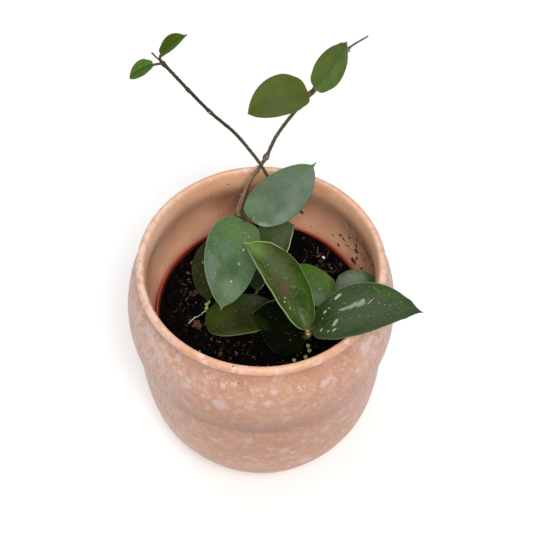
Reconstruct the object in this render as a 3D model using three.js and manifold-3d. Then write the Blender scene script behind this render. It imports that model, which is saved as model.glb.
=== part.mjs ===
// A young trailing hoya in a plastic growing pot, standing in a two-tier ceramic cover pot.
// Millimetres, +Z up, origin at the centre of the cover pot's flat base.
import * as THREE from 'three';
import { mergeVertices } from 'three/addons/utils/BufferGeometryUtils.js';
import Module from 'manifold-3d';

const wasm = await Module();
wasm.setup();

// Driving dimensions of the cover pot
const POT_HEIGHT = 132;
const LIP_RADIUS = 58.6;
const NECK_RADIUS = 57.6;
const MOUTH_RADIUS = 54.6;
const UPPER_TIER_RADIUS = 65.5;
const WAIST_HEIGHT = 80.5;
const WAIST_RADIUS = 58.6;
const LOWER_TIER_RADIUS = 62.8;
const BASE_RADIUS = 46;
const POT_FLOOR = 6;
const INNER_LEDGE_RADIUS = 55;

// Driving dimensions of the growing pot and its soil
const GROW_POT_HEIGHT = 86.5;
const GROW_POT_TOP_RADIUS = 52.5;
const GROW_POT_BASE_RADIUS = 38;
const GROW_POT_WALL = 1;
const GROW_POT_FLOOR = 1.2;
const RIM_DROP = 7;
const RIM_OUT = 1.6;
const DRAIN_HOLES = 8;
const DRAIN_HOLE_RADIUS = 3;
const DRAIN_RING_RADIUS = 26;
const SOIL_EDGE_HEIGHT = 90.6;
const SOIL_DISH = 3;
const SOIL_LUMP = 0.7;
const ROOT_DEPTH = 20;

// Driving dimensions of the plant
const LEAF_THICKNESS = 1.3;
const SMALL_LEAF_THICKNESS = 0.9;
const PETIOLE_RADIUS = 0.95;
const SMALL_PETIOLE_RADIUS = 0.45;
const STEM_SIDES = 7;
const SEEDLING_LEAF_RADIUS = 1.3;
const SEEDLING_STALK = 0.4;
const SEEDLING_ROOT = 4;
const GAP = 0.3;

const RANDOM_SEED = 11;

const deg = THREE.MathUtils.degToRad;
const v3 = (x, y, z) => new THREE.Vector3(x, y, z);

const plant = new THREE.Group();

// Seeded random numbers, so that each build gives the same soil
function randomFrom(seed) {
  let state = seed;
  return () => {
    state = (state * 1664525 + 1013904223) % 4294967296;
    return state / 4294967296;
  };
}

// A closed geometry as a solid that can be joined and cut
function solidOf(geometry) {
  const bare = geometry.clone();
  bare.deleteAttribute('normal');
  bare.deleteAttribute('uv');
  const merged = mergeVertices(bare, 1e-4);
  return new wasm.Manifold(new wasm.Mesh({
    numProp: 3,
    vertProperties: new Float32Array(merged.attributes.position.array),
    triVerts: new Uint32Array(merged.index.array),
  }));
}

// The main body of a cut solid, without the scraps that a cut leaves
function mainBody(solid) {
  const bodies = solid.decompose();
  return bodies.reduce((a, b) => (a.volume() > b.volume() ? a : b));
}

function geometryOf(solid) {
  const { vertProperties, triVerts } = solid.getMesh();
  const geometry = new THREE.BufferGeometry();
  geometry.setAttribute('position', new THREE.BufferAttribute(vertProperties, 3));
  geometry.setIndex(new THREE.BufferAttribute(triVerts, 1));
  geometry.computeVertexNormals();
  return geometry;
}

function finish(color, roughness, metalness = 0) {
  return new THREE.MeshStandardMaterial({ color, roughness, metalness });
}

function addPiece(name, geometry, material) {
  const mesh = new THREE.Mesh(geometry, material);
  mesh.name = name;
  plant.add(mesh);
  return mesh;
}

// A smooth stretch of a profile through a few points of radius and height
function smooth(points, steps) {
  const curve = new THREE.SplineCurve(points.map(([r, z]) => new THREE.Vector2(r, z)));
  return curve.getPoints(steps);
}

// A profile turned round the Z axis
function turned(profile, segments) {
  const geometry = new THREE.LatheGeometry(profile, segments);
  geometry.rotateX(Math.PI / 2);
  return geometry;
}

// A value read between the places of a list of [place, value]
function readAt(list, place) {
  const next = list.findIndex(([at]) => at >= place);
  if (next < 1) return next === 0 ? list[0][1] : list[list.length - 1][1];
  const [fromPlace, fromValue] = list[next - 1];
  const [toPlace, toValue] = list[next];
  return fromValue + ((toValue - fromValue) * (place - fromPlace)) / (toPlace - fromPlace);
}

// A round rod along a curve, closed at both ends. Girth lists its radii as [share, radius].
function rod(curve, girth, steps, sides) {
  const thickest = Math.max(...girth.map(([, radius]) => radius));
  const section = new THREE.Shape();
  for (let i = 0; i < sides; i += 1) {
    const angle = (i / sides) * 2 * Math.PI;
    const x = thickest * Math.cos(angle);
    const y = thickest * Math.sin(angle);
    if (i === 0) section.moveTo(x, y);
    else section.lineTo(x, y);
  }
  section.closePath();
  const geometry = new THREE.ExtrudeGeometry(section, {
    steps, extrudePath: curve, bevelEnabled: false,
  });
  const centres = curve.getSpacedPoints(steps);
  const place = geometry.attributes.position;
  const point = v3(0, 0, 0);
  for (let i = 0; i < place.count; i += 1) {
    point.fromBufferAttribute(place, i);
    const away = centres.map((centre) => centre.distanceTo(point));
    const station = away.indexOf(Math.min(...away));
    point.lerp(centres[station], 1 - readAt(girth, station / steps) / thickest);
    place.setXYZ(i, point.x, point.y, point.z);
  }
  return geometry;
}

// A round ball, for the swollen nodes and buds of the stems
function ball(centre, radius) {
  const geometry = new THREE.SphereGeometry(radius, 8, 5);
  geometry.translate(centre.x, centre.y, centre.z);
  return geometry;
}

// Cover pot: thick ceramic, a flat base, a bulging lower tier, a creased waist, a wider
// upper tier and a rounded lip. The hollow inside follows the two tiers.
const outside = [
  new THREE.Vector2(0, 0),
  new THREE.Vector2(BASE_RADIUS, 0),
  ...smooth([
    [BASE_RADIUS + 3.5, 1.5], [52, 6], [57.5, 19], [61.3, 32],
    [LOWER_TIER_RADIUS, 50], [62.4, 66], [62, 75], [61, WAIST_HEIGHT - 1.6],
  ], 9),
  new THREE.Vector2(WAIST_RADIUS, WAIST_HEIGHT),
  ...smooth([
    [62.6, WAIST_HEIGHT + 1.5], [64.2, WAIST_HEIGHT + 4], [65.1, 89.5],
    [UPPER_TIER_RADIUS, 96], [64.8, 105], [62.8, 115], [60.2, 121.5], [NECK_RADIUS, 126.8],
  ], 10),
];
const lip = smooth([
  [LIP_RADIUS, 129.2], [LIP_RADIUS - 0.4, 131], [56.6, POT_HEIGHT],
  [55.1, 131.6], [MOUTH_RADIUS, 130.2],
], 8);
const inside = [
  ...smooth([
    [54.7, 127], [56.3, 122], [59, 113], [60.3, 100], [59.4, 91], [56.6, 86.5],
    [INNER_LEDGE_RADIUS, 83.5],
  ], 8),
  ...smooth([[55.9, 76], [57, 60], [55.4, 36], [51.5, 18], [44, 7.5], [40, POT_FLOOR]], 6),
  new THREE.Vector2(0, POT_FLOOR),
];
addPiece('cover_pot', turned([...outside, ...lip, ...inside], 48), finish(0xe3b79c, 0.55));

// Growing pot: thin moulded plastic cone with a turned-over rim and drainage holes
const growBase = POT_FLOOR + GAP;
const growTop = growBase + GROW_POT_HEIGHT;
const growSlope = (GROW_POT_TOP_RADIUS - RIM_OUT - GROW_POT_BASE_RADIUS) / GROW_POT_HEIGHT;
const growOuterRadius = (z) => GROW_POT_BASE_RADIUS + growSlope * (z - growBase);
const growInnerRadius = (z) => growOuterRadius(z) - GROW_POT_WALL;
const growProfile = [
  [0, growBase], [GROW_POT_BASE_RADIUS - 1, growBase], [GROW_POT_BASE_RADIUS, growBase + 1],
  [growOuterRadius(growTop - RIM_DROP), growTop - RIM_DROP],
  [GROW_POT_TOP_RADIUS - 0.4, growTop - RIM_DROP + 0.2],
  [GROW_POT_TOP_RADIUS, growTop - 0.6], [GROW_POT_TOP_RADIUS - 0.8, growTop],
  [growInnerRadius(growTop) + 0.4, growTop], [growInnerRadius(growTop - 1), growTop - 1],
  [growInnerRadius(growBase + 2), growBase + 2],
  [GROW_POT_BASE_RADIUS - 2.5, growBase + GROW_POT_FLOOR], [0, growBase + GROW_POT_FLOOR],
].map(([r, z]) => new THREE.Vector2(r, z));
let growPot = solidOf(turned(growProfile, 36));
for (let i = 0; i < DRAIN_HOLES; i += 1) {
  const angle = (i / DRAIN_HOLES) * 2 * Math.PI;
  const hole = new THREE.CylinderGeometry(DRAIN_HOLE_RADIUS, DRAIN_HOLE_RADIUS, 8, 12);
  hole.rotateX(Math.PI / 2);
  hole.translate(
    DRAIN_RING_RADIUS * Math.cos(angle), DRAIN_RING_RADIUS * Math.sin(angle), growBase,
  );
  growPot = growPot.subtract(solidOf(hole));
}
addPiece('growing_pot', geometryOf(growPot), finish(0xa8463a, 0.5));

// Stems. Each one is a smooth curve that stands upright in the soil, with a swollen node
// wherever a leaf or a pair of leaves grows. Points are listed from the soil upwards. Girth
// is a list of places, as shares of the stem's length, each with the radius there. A node is
// given as the number of its point and the radius of its swelling.
const soilLevel = SOIL_EDGE_HEIGHT - SOIL_DISH;
const STEMS = {
  vine_right: {
    girth: [[0, 1.15], [0.4, 1.05], [0.52, 0.85], [0.86, 0.78], [0.93, 0.5], [1, 0.36]],
    root: [-10, 32],
    points: [
      [-10.2, 34, 98], [-11.2, 40, 116], [-9.2, 43, 123.3], [-5.8, 47, 132.8],
      [-0.2, 49.2, 142.6], [2.4, 49.8, 148.1], [7, 50.5, 161.9], [15.3, 50.5, 178.6],
      [22.2, 50, 191], [30, 52, 203], [37, 53, 214.4], [45, 55, 219.5],
    ],
    nodes: [[1, 1.7], [2, 1.8], [6, 1.35], [9, 1.35], [11, 0.75]],
  },
  vine_left: {
    girth: [[0, 0.9], [0.5, 0.8], [0.95, 0.74], [0.97, 0.38], [1, 0.32]],
    root: [11, 40],
    points: [
      [10.4, 43.5, 104], [7.2, 46, 126], [2.5, 46, 139.5], [-1.4, 46.4, 148.7],
      [-6, 47, 157], [-12.2, 47.6, 167.2], [-23.2, 48, 181], [-32.2, 48, 195],
      [-41.8, 48, 210.4], [-45.8, 48.6, 215.4],
    ],
    nodes: [[7, 0.95], [8, 0.95], [9, 1.15]],
  },
  stem_front: {
    girth: [[0, 1.4], [1, 1.4]],
    root: [21, -5],
    points: [[21, -7, 94.5], [22.6, -21, 110], [21.6, -30, 119.5], [21.2, -32.5, 121.8]],
    nodes: [[1, 1.9], [2, 1.9], [3, 2.1]],
  },
  stem_right: {
    girth: [[0, 1.3], [1, 1.3]],
    root: [37.5, -6],
    points: [[37.5, -6, 90], [37.8, -5.4, 94.5]],
    nodes: [[2, 1.9]],
  },
  stem_middle: {
    girth: [[0, 1.3], [1, 1.3]],
    root: [-8, 3],
    points: [[-8, 3.2, 88], [-7.6, 4, 92.5]],
    nodes: [[2, 1.8]],
  },
};

// The point of a stem that a leaf grows from: 1 is the first listed point above the soil
function stemPoint(stem, index) {
  return v3(...stem.points[index - 1]);
}

function stemCurve(stem, extra = 0) {
  const [x, y] = stem.root;
  return new THREE.CatmullRomCurve3([
    v3(x, y, soilLevel - ROOT_DEPTH - extra),
    v3(x, y, soilLevel - ROOT_DEPTH / 2),
    v3(x, y, soilLevel),
    ...stem.points.map((point) => v3(...point)),
  ], false, 'centripetal');
}

function stemSolid(stem, grow) {
  const curve = stemCurve(stem, grow);
  const stepLength = 6;
  const steps = Math.round(curve.getLength() / stepLength);
  const girth = stem.girth.map(([share, radius]) => [share, radius + grow]);
  let solid = solidOf(rod(curve, girth, steps, STEM_SIDES));
  for (const [index, radius] of stem.nodes) {
    solid = solid.add(solidOf(ball(stemPoint(stem, index), radius + grow)));
  }
  return solid;
}

const stemColours = {
  vine_right: 0x6b6a4c, vine_left: 0x4c5238, stem_front: 0x6c5a48,
  stem_right: 0x6c5a48, stem_middle: 0x6c5a48,
};
const grownStems = {};
for (const [name, stem] of Object.entries(STEMS)) {
  addPiece(name, geometryOf(stemSolid(stem, 0)), finish(stemColours[name], 0.65));
  grownStems[name] = stemSolid(stem, GAP);
}

// Leaves. A blade is a thick waxy plate: rounded or heart-shaped at its base, widest a
// little before the middle, drawn out to a point. Heading 0 points along +X and 90 along
// +Y, pitch lifts the leaf, roll tips it about its midrib, arch curls it down along its
// length, channel folds its edges up, bend swings it sideways and twist turns it about its
// midrib towards the tip. Angles are in degrees. Its stalk starts at a node of the stem,
// moved aside by side so that two stalks don't meet, and swings back by hook, a share of
// its reach, before it meets the blade.
const LEAVES = {
  leaf_back_right: {
    stem: 'vine_right', node: 2, side: [1.3, -0.2, 1.5], base: [-5.6, 32.3, 121.6],
    length: 43.6, width: 25.2,
    heading: 14, pitch: 39, roll: 66, arch: 21, channel: 18, bend: 1, twist: -6,
    widest: 0.38, blunt: 1.35, point: 0.057, colour: 0x5f8466,
  },
  leaf_centre_left: {
    stem: 'vine_right', node: 2, side: [-1, -0.4, -0.8], base: [-8.6, 35.2, 116.5],
    length: 56.5, width: 27.7,
    heading: -108, pitch: 12, roll: -16, arch: 10, channel: 20, bend: 19, twist: -14,
    widest: 0.37, blunt: 1.4, point: 0.034, lobe: 1.6, colour: 0x4f7a58,
  },
  leaf_centre: {
    stem: 'stem_front', node: 3, base: [20.2, -30.7, 121.9], length: 57.6, width: 25.5,
    heading: 114, pitch: 28, roll: -2, arch: 53, channel: 86, bend: 15, twist: 4,
    widest: 0.41, blunt: 0.75, point: 0.04, colour: 0x4c6b35,
  },
  leaf_over_rim: {
    stem: 'stem_front', node: 3, base: [22.8, -30.4, 121.9], length: 54.1, width: 29.9,
    heading: 11, pitch: 39, roll: -15, arch: 31, channel: 17, bend: -25, twist: 6,
    widest: 0.43, blunt: 0.5, point: 0.039, colour: 0x3f6236,
  },
  leaf_back_low: {
    stem: 'stem_middle', node: 2, base: [-2.4, 9.4, 92.9], length: 39.5, width: 24,
    heading: 67, pitch: 29, roll: -49, arch: 1, channel: 17, bend: -40, twist: 6,
    widest: 0.66, blunt: 0.75, point: 0.026, colour: 0x35502f,
  },
  leaf_right_low: {
    stem: 'stem_right', node: 2, side: [-1, 0, 0], base: [35.2, 0.3, 95.4],
    length: 32, width: 18.7,
    heading: 133, pitch: 5, roll: -5, arch: 17, channel: 15,
    widest: 0.3, blunt: 1.75, point: 0.04, colour: 0x4d7a3a,
  },
  leaf_right_far: {
    stem: 'stem_right', node: 2, side: [1, 0, 0.5], base: [38.8, -1.5, 98.1],
    length: 28.7, width: 23,
    heading: -1, pitch: 65, roll: 46, arch: 17, channel: 20, bend: -5,
    widest: 0.28, blunt: 0.35, point: 0.029, colour: 0x5b7a5c,
  },
  leaf_front_left_low: {
    stem: 'stem_front', node: 1, base: [8.2, -5.8, 95.8], length: 38.2, width: 21.4,
    heading: 187, pitch: 11, roll: -5, arch: 38, channel: 20, bend: 1, twist: -7,
    widest: 0.45, blunt: 2, point: 0.034, colour: 0x3f5326,
  },
  leaf_front_low: {
    stem: 'stem_front', node: 2, base: [20.2, -28.4, 110.7], length: 32.4, width: 29,
    heading: 150, pitch: -12, roll: -60, arch: 17, channel: 4,
    widest: 0.37, blunt: 0.25, point: 0.016, colour: 0x2c4a26,
  },
  leaf_left_low: {
    stem: 'vine_right', node: 1, base: [-19, 39.6, 98.6], length: 38.8, width: 26,
    heading: -109, pitch: -3, roll: 27, arch: 17, channel: 17, bend: 6,
    widest: 0.38, blunt: 1, point: 0.036, colour: 0x344a2a,
  },
  leaf_vine_lower: {
    stem: 'vine_right', node: 9, side: [-1.3, -0.5, -0.5], base: [20.5, 46, 195.2],
    length: 29.6, width: 22.9,
    heading: -167, pitch: 13, roll: 0, arch: 59, channel: 17, bend: -4, twist: -9,
    widest: 0.35, blunt: 0.7, point: 0.035, hook: 0.1, colour: 0x5c6b30,
  },
  leaf_vine_upper: {
    stem: 'vine_right', node: 9, side: [1.2, 0.6, 0.9], base: [23, 46.3, 197.8],
    length: 27.3, width: 14.9,
    heading: 23, pitch: 45, roll: 13, arch: -33, channel: 8, twist: 9,
    widest: 0.37, blunt: 0.75, point: 0.035, hook: 0.1, colour: 0x55682f,
  },
  leaf_tip_upper: {
    stem: 'vine_left', node: 9, base: [-42.8, 49.4, 214.5], length: 14.8, width: 8.6,
    heading: 20, pitch: 50, roll: -3, arch: 33, channel: 25, bend: -5, twist: 9,
    widest: 0.48, blunt: 0.5, point: 0.066, colour: 0x3f6a2c, small: true,
  },
  leaf_tip_lower: {
    stem: 'vine_left', node: 9, base: [-46.1, 46.2, 211.8], length: 12.4, width: 9.6,
    heading: -174, pitch: -15, roll: 1, arch: 30, channel: 20, bend: 10, twist: -9,
    widest: 0.4, blunt: 1, point: 0.025, colour: 0x3f6a2c, small: true,
  },
};

// Half width of a blade as a share of its greatest, from base (0) to tip (1). A blunt leaf
// keeps its width for longer. Its last share, called point, is drawn out into a fine tip.
function outline(t, { widest, blunt, point }) {
  const s = Math.min(1, t / (1 - point));
  if (s < widest) return (1 - (1 - s / widest) ** 2) ** 0.56;
  const toTip = (s - widest) / (1 - widest);
  const main = Math.max(0, 1 - toTip ** (1.9 + 0.4 * blunt)) ** (1.2 - 0.35 * blunt);
  const tail = 0.34 * Math.min(1, (1 - t) / (3.2 * point)) ** 1.7;
  return (main ** 8 + tail ** 8) ** 0.125;
}

// The directions along, across and out of a blade at its base
function leafAxes(leaf) {
  const heading = deg(leaf.heading);
  const pitch = deg(leaf.pitch);
  const roll = deg(leaf.roll);
  const along = v3(
    Math.cos(heading) * Math.cos(pitch), Math.sin(heading) * Math.cos(pitch), Math.sin(pitch),
  );
  const level = v3(-Math.sin(heading), Math.cos(heading), 0);
  const across = level.clone().applyAxisAngle(along, roll);
  const up = along.clone().cross(across);
  return { along, across, up };
}

// Stations along the midrib, each with its place, directions and half width
function stations(leaf, count) {
  const { along, across, up } = leafAxes(leaf);
  const direction = (t) => {
    const curl = deg(leaf.arch) * t;
    const swing = deg(leaf.bend ?? 0) * t;
    return along.clone().multiplyScalar(Math.cos(curl)).addScaledVector(up, -Math.sin(curl))
      .multiplyScalar(Math.cos(swing)).addScaledVector(across, Math.sin(swing));
  };
  const rows = [];
  const place = v3(...leaf.base);
  const fine = 6;
  for (let i = 0; i <= count; i += 1) {
    const t = 0.5 - 0.5 * Math.cos((Math.PI * i) / count);
    if (i > 0) {
      const before = 0.5 - 0.5 * Math.cos(Math.PI * ((i - 1) / count));
      for (let k = 0; k < fine; k += 1) {
        const middle = before + ((t - before) * (k + 0.5)) / fine;
        place.addScaledVector(direction(middle), (leaf.length * (t - before)) / fine);
      }
    }
    const forward = direction(t);
    const curl = deg(leaf.arch) * t;
    const lift = up.clone().multiplyScalar(Math.cos(curl)).addScaledVector(along, Math.sin(curl));
    const side = lift.clone().cross(forward).normalize();
    side.applyAxisAngle(forward, deg(leaf.twist ?? 0) * t);
    const normal = forward.clone().cross(side);
    const half = Math.max(0.45, (leaf.width / 2) * outline(t, leaf));
    rows.push({ t, place: place.clone(), forward, side, normal, half });
  }
  return rows;
}

// A blade as one closed plate, with both faces split into triangles alike
function blade(leaf, alongCount, acrossCount, thickness) {
  const channel = Math.max(0.01, deg(leaf.channel));
  const lobe = leaf.lobe ?? 0.8;
  const positions = [];
  const rows = stations(leaf, alongCount);
  for (const face of [0, 1]) {
    for (const row of rows) {
      for (let j = 0; j <= acrossCount; j += 1) {
        const u = (2 * j) / acrossCount - 1;
        const angle = channel * u;
        const back = lobe * u * u * Math.sin(Math.PI * Math.min(row.t / 0.16, 1));
        const depth = face * thickness * (1 - 0.45 * u * u);
        const point = row.place.clone()
          .addScaledVector(row.side, (row.half * Math.sin(angle)) / channel)
          .addScaledVector(row.normal, (row.half * (1 - Math.cos(angle))) / channel)
          .addScaledVector(row.forward, -back)
          .addScaledVector(row.side, depth * Math.sin(angle))
          .addScaledVector(row.normal, -depth * Math.cos(angle));
        positions.push(point.x, point.y, point.z);
      }
    }
  }
  const wide = acrossCount + 1;
  const sheet = rows.length * wide;
  const top = (i, j) => i * wide + j;
  const under = (i, j) => sheet + i * wide + j;
  const index = [];
  const quad = (a, b, c, d) => index.push(a, b, c, a, c, d);
  for (let i = 0; i < alongCount; i += 1) {
    for (let j = 0; j < acrossCount; j += 1) {
      quad(top(i, j), top(i + 1, j), top(i + 1, j + 1), top(i, j + 1));
      index.push(under(i, j), under(i + 1, j + 1), under(i + 1, j));
      index.push(under(i, j), under(i, j + 1), under(i + 1, j + 1));
    }
    quad(top(i, 0), under(i, 0), under(i + 1, 0), top(i + 1, 0));
    quad(top(i, acrossCount), top(i + 1, acrossCount),
      under(i + 1, acrossCount), under(i, acrossCount));
  }
  for (let j = 0; j < acrossCount; j += 1) {
    quad(top(0, j), top(0, j + 1), under(0, j + 1), under(0, j));
    quad(top(alongCount, j), under(alongCount, j),
      under(alongCount, j + 1), top(alongCount, j + 1));
  }
  const geometry = new THREE.BufferGeometry();
  geometry.setAttribute('position', new THREE.Float32BufferAttribute(positions, 3));
  geometry.setIndex(index);
  return geometry;
}

// The leaf stalk: from inside the stem's node, on its own side, into the blade's underside
function petiole(leaf, thickness) {
  const { along, up } = leafAxes(leaf);
  const start = stemPoint(STEMS[leaf.stem], leaf.node).add(v3(...(leaf.side ?? [0, 0, 0])));
  const base = v3(...leaf.base).addScaledVector(up, -thickness / 2);
  const reach = start.distanceTo(base);
  const turn = base.clone().addScaledVector(along, -(leaf.hook ?? 0.45) * reach);
  const end = base.clone().addScaledVector(along, leaf.length * 0.07);
  const curve = new THREE.CatmullRomCurve3([
    start, start.clone().lerp(turn, 0.6), turn.clone().lerp(base, 0.6), base, end,
  ], false, 'centripetal');
  const radius = leaf.small ? SMALL_PETIOLE_RADIUS : PETIOLE_RADIUS;
  return rod(curve, [[0, radius], [1, radius]], 5, 5);
}

for (const [name, leaf] of Object.entries(LEAVES)) {
  const thickness = leaf.small ? SMALL_LEAF_THICKNESS : LEAF_THICKNESS;
  const alongCount = leaf.small ? 8 : 12;
  const acrossCount = leaf.channel > 60 ? 6 : 4;
  const solid = solidOf(blade(leaf, alongCount, acrossCount, thickness))
    .add(solidOf(petiole(leaf, thickness)))
    .subtract(grownStems[leaf.stem]);
  addPiece(name, geometryOf(mainBody(solid)), finish(leaf.colour, 0.4));
}

// The soil's top: highest where it meets the pot's wall, dished towards the middle, lumpy
const random = randomFrom(RANDOM_SEED);
const waves = Array.from({ length: 9 }, () => ({
  across: (random() - 0.5) * 0.9,
  along: (random() - 0.5) * 0.9,
  shift: random() * 2 * Math.PI,
}));

function soilTop(x, y) {
  const radius = growInnerRadius(SOIL_EDGE_HEIGHT);
  const dish = SOIL_DISH * (1 - Math.min(1, (x * x + y * y) / (radius * radius)));
  let lumps = 0;
  for (const wave of waves) lumps += Math.sin(x * wave.across + y * wave.along + wave.shift);
  return SOIL_EDGE_HEIGHT - dish + (SOIL_LUMP * lumps) / 3;
}

// Seedlings: hair-thin stalks with round seed leaves, standing in the soil
const SEEDLINGS = {
  seedling_left: { foot: [-28.8, -2], leaves: [[-1.4, 3.6, 2.4], [0.9, 2, 2], [0.7, -1.6, 2.4]] },
  seedling_front: { foot: [23, -25], leaves: [[-0.4, 1.6, 4.4], [0.3, -0.3, 3]] },
  seedling_rim: { foot: [21, -29], leaves: [[0.4, 1, 2]] },
  seedling_low: { foot: [16, -30], leaves: [[-0.2, 0.3, 1.8]] },
};
const seedlingStalks = [];

function seedlingSolid(seedling, grow) {
  const [x, y] = seedling.foot;
  let solid = null;
  const ground = soilTop(x, y);
  for (const [dx, dy, height] of seedling.leaves) {
    const top = v3(x + dx, y + dy, ground + height);
    const curve = new THREE.CatmullRomCurve3([
      v3(x, y, ground - SEEDLING_ROOT - grow), v3(x, y, ground), top,
    ], false, 'centripetal');
    const girth = [[0, SEEDLING_STALK + grow], [1, SEEDLING_STALK + grow]];
    const stalk = solidOf(rod(curve, girth, 3, 4));
    const disc = new THREE.SphereGeometry(SEEDLING_LEAF_RADIUS + grow, 8, 4);
    disc.scale(1, 1, 0.4);
    disc.translate(top.x, top.y, top.z);
    const sprig = stalk.add(solidOf(disc));
    solid = solid ? solid.add(sprig) : sprig;
  }
  return solid;
}

for (const [name, seedling] of Object.entries(SEEDLINGS)) {
  addPiece(name, geometryOf(seedlingSolid(seedling, 0)), finish(0x8fb32e, 0.5));
  seedlingStalks.push(seedlingSolid(seedling, GAP));
}

// Potting soil: fills the growing pot to just under its rim, with a plain hole for each stem
// and seedling
function soilGeometry() {
  const rings = 10;
  const segments = 36;
  const soilFloor = growBase + GROW_POT_FLOOR + GAP;
  const positions = [0, 0, soilFloor];
  const ring = (radius, height) => {
    for (let k = 0; k < segments; k += 1) {
      const angle = (k / segments) * 2 * Math.PI;
      const x = radius * Math.cos(angle);
      const y = radius * Math.sin(angle);
      positions.push(x, y, height ?? soilTop(x, y));
    }
  };
  const bevel = 1.4;
  ring(growInnerRadius(soilFloor) - bevel, soilFloor);
  ring(growInnerRadius(soilFloor + bevel) - GAP, soilFloor + bevel);
  for (let i = rings; i >= 1; i -= 1) {
    ring(((growInnerRadius(SOIL_EDGE_HEIGHT - 2) - GAP) * i) / rings);
  }
  positions.push(0, 0, soilTop(0, 0));
  const index = [];
  const at = (row, k) => 1 + row * segments + (k % segments);
  const last = positions.length / 3 - 1;
  const rows = rings + 2;
  for (let k = 0; k < segments; k += 1) {
    index.push(0, at(0, k + 1), at(0, k));
    for (let row = 0; row < rows - 1; row += 1) {
      index.push(at(row, k), at(row, k + 1), at(row + 1, k + 1));
      index.push(at(row, k), at(row + 1, k + 1), at(row + 1, k));
    }
    index.push(last, at(rows - 1, k), at(rows - 1, k + 1));
  }
  const geometry = new THREE.BufferGeometry();
  geometry.setAttribute('position', new THREE.Float32BufferAttribute(positions, 3));
  geometry.setIndex(index);
  return geometry;
}

let soil = solidOf(soilGeometry());
for (const hole of [...Object.values(grownStems), ...seedlingStalks]) soil = soil.subtract(hole);
addPiece('potting_soil', geometryOf(soil), finish(0x2a1d17, 0.95));

export default plant;
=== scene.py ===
import math
import random

import bmesh
import bpy
import numpy as np
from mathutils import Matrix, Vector, noise


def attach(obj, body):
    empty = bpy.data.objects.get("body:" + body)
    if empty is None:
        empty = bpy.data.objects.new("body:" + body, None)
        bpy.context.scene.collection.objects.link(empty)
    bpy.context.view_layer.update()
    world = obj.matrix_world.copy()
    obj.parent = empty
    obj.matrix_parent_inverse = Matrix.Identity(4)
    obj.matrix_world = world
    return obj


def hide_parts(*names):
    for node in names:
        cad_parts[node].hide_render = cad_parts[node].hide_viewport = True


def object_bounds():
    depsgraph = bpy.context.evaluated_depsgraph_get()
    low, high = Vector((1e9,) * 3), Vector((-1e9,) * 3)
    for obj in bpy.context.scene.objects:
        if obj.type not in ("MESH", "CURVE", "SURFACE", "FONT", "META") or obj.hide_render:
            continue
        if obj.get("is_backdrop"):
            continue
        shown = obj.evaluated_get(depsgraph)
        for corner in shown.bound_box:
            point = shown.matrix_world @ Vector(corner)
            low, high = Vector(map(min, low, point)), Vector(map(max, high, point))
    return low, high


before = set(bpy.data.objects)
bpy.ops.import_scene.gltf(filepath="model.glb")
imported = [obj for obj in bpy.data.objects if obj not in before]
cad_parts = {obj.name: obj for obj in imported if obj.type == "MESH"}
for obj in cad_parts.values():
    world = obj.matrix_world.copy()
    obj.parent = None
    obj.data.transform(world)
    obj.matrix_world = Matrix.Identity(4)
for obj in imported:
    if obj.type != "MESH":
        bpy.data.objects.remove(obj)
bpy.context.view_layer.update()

# The outer pot is slip-cast ceramic in two soft tiers with a creased waist and a rolled
# lip. Its glaze is peach with chalky lilac-white blotches outside, and plain rose inside,
# with a bare, paler ring where the foot stood in the kiln.

MM = 0.001

POT_HEIGHT = 132
POT_FLOOR = 6
POT_SEGMENTS = 192
POT_RIPPLE = 0.16
RIPPLES_PER_MM = 0.05
FOOT_RADIUS = 46
FOOT_BARE = 0.7
WAIST = (58.6, 80.5)
AT_AXIS = 1e-6
SHADER = "Principled BSDF"


def curve_through(points, steps):
    """Points of a smooth line through a few given ones, evenly stepped from one to the next."""
    points = np.array(points, float)
    last = len(points) - 1
    line = []
    for k in range(steps + 1):
        place = last * k / steps
        i = min(int(place), last - 1)
        w = place - i
        a, b = points[max(i - 1, 0)], points[i]
        c, d = points[i + 1], points[min(i + 2, last)]
        out, into = (c - a) / 2, (d - b) / 2
        line.append((2 * b - 2 * c + out + into) * w ** 3
                    + (3 * c - 3 * b - 2 * out - into) * w ** 2 + out * w + b)
    return np.array(line)


def hoops(rings, around):
    """Faces that join rings of points one to the next, each with as many points in it."""
    faces = []
    for i in range(rings - 1):
        for j in range(around):
            k = (j + 1) % around
            faces.append((i * around + j, i * around + k, (i + 1) * around + k,
                          (i + 1) * around + j))
    return faces


def turned(profile, around):
    """Vertices and faces of a profile of radius and height, turned round the Z axis. The
    profile starts and ends on the axis and runs up the outside and down the inside."""
    rows = [p for p in profile if p[0] > AT_AXIS]
    angles = np.arange(around) * 2 * math.pi / around
    vertices = [(r * math.cos(a), r * math.sin(a), z) for r, z in rows for a in angles]
    faces = hoops(len(rows), around)
    top = (len(rows) - 1) * around
    under, over = len(vertices), len(vertices) + 1
    vertices += [(0, 0, profile[0][1]), (0, 0, profile[-1][1])]
    for j in range(around):
        k = (j + 1) % around
        faces.append((under, k, j))
        faces.append((over, top + j, top + k))
    return np.array(vertices), faces


def make_piece(name, vertices, faces, finish, stands_for=(), marks=None, smooth=True):
    """A mesh piece from points in millimetres, with its finish, riding with the plant.
    marks are numbers or vectors kept at each point, which the finish reads by name."""
    mesh = bpy.data.meshes.new(name)
    mesh.from_pydata([tuple(p) for p in np.array(vertices) * MM], [], faces)
    mesh.materials.append(finish)
    for mark, values in (marks or {}).items():
        values = np.array(values, np.float32)
        kind, key = ("FLOAT", "value") if values.ndim == 1 else ("FLOAT_VECTOR", "vector")
        mesh.attributes.new(mark, kind, "POINT").data.foreach_set(key, values.ravel())
    mesh.polygons.foreach_set("use_smooth", [smooth] * len(mesh.polygons))
    mesh.update()
    piece = bpy.data.objects.new(name, mesh)
    bpy.context.scene.collection.objects.link(piece)
    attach(piece, "root")
    if stands_for:
        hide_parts(*stands_for)
    return piece


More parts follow.
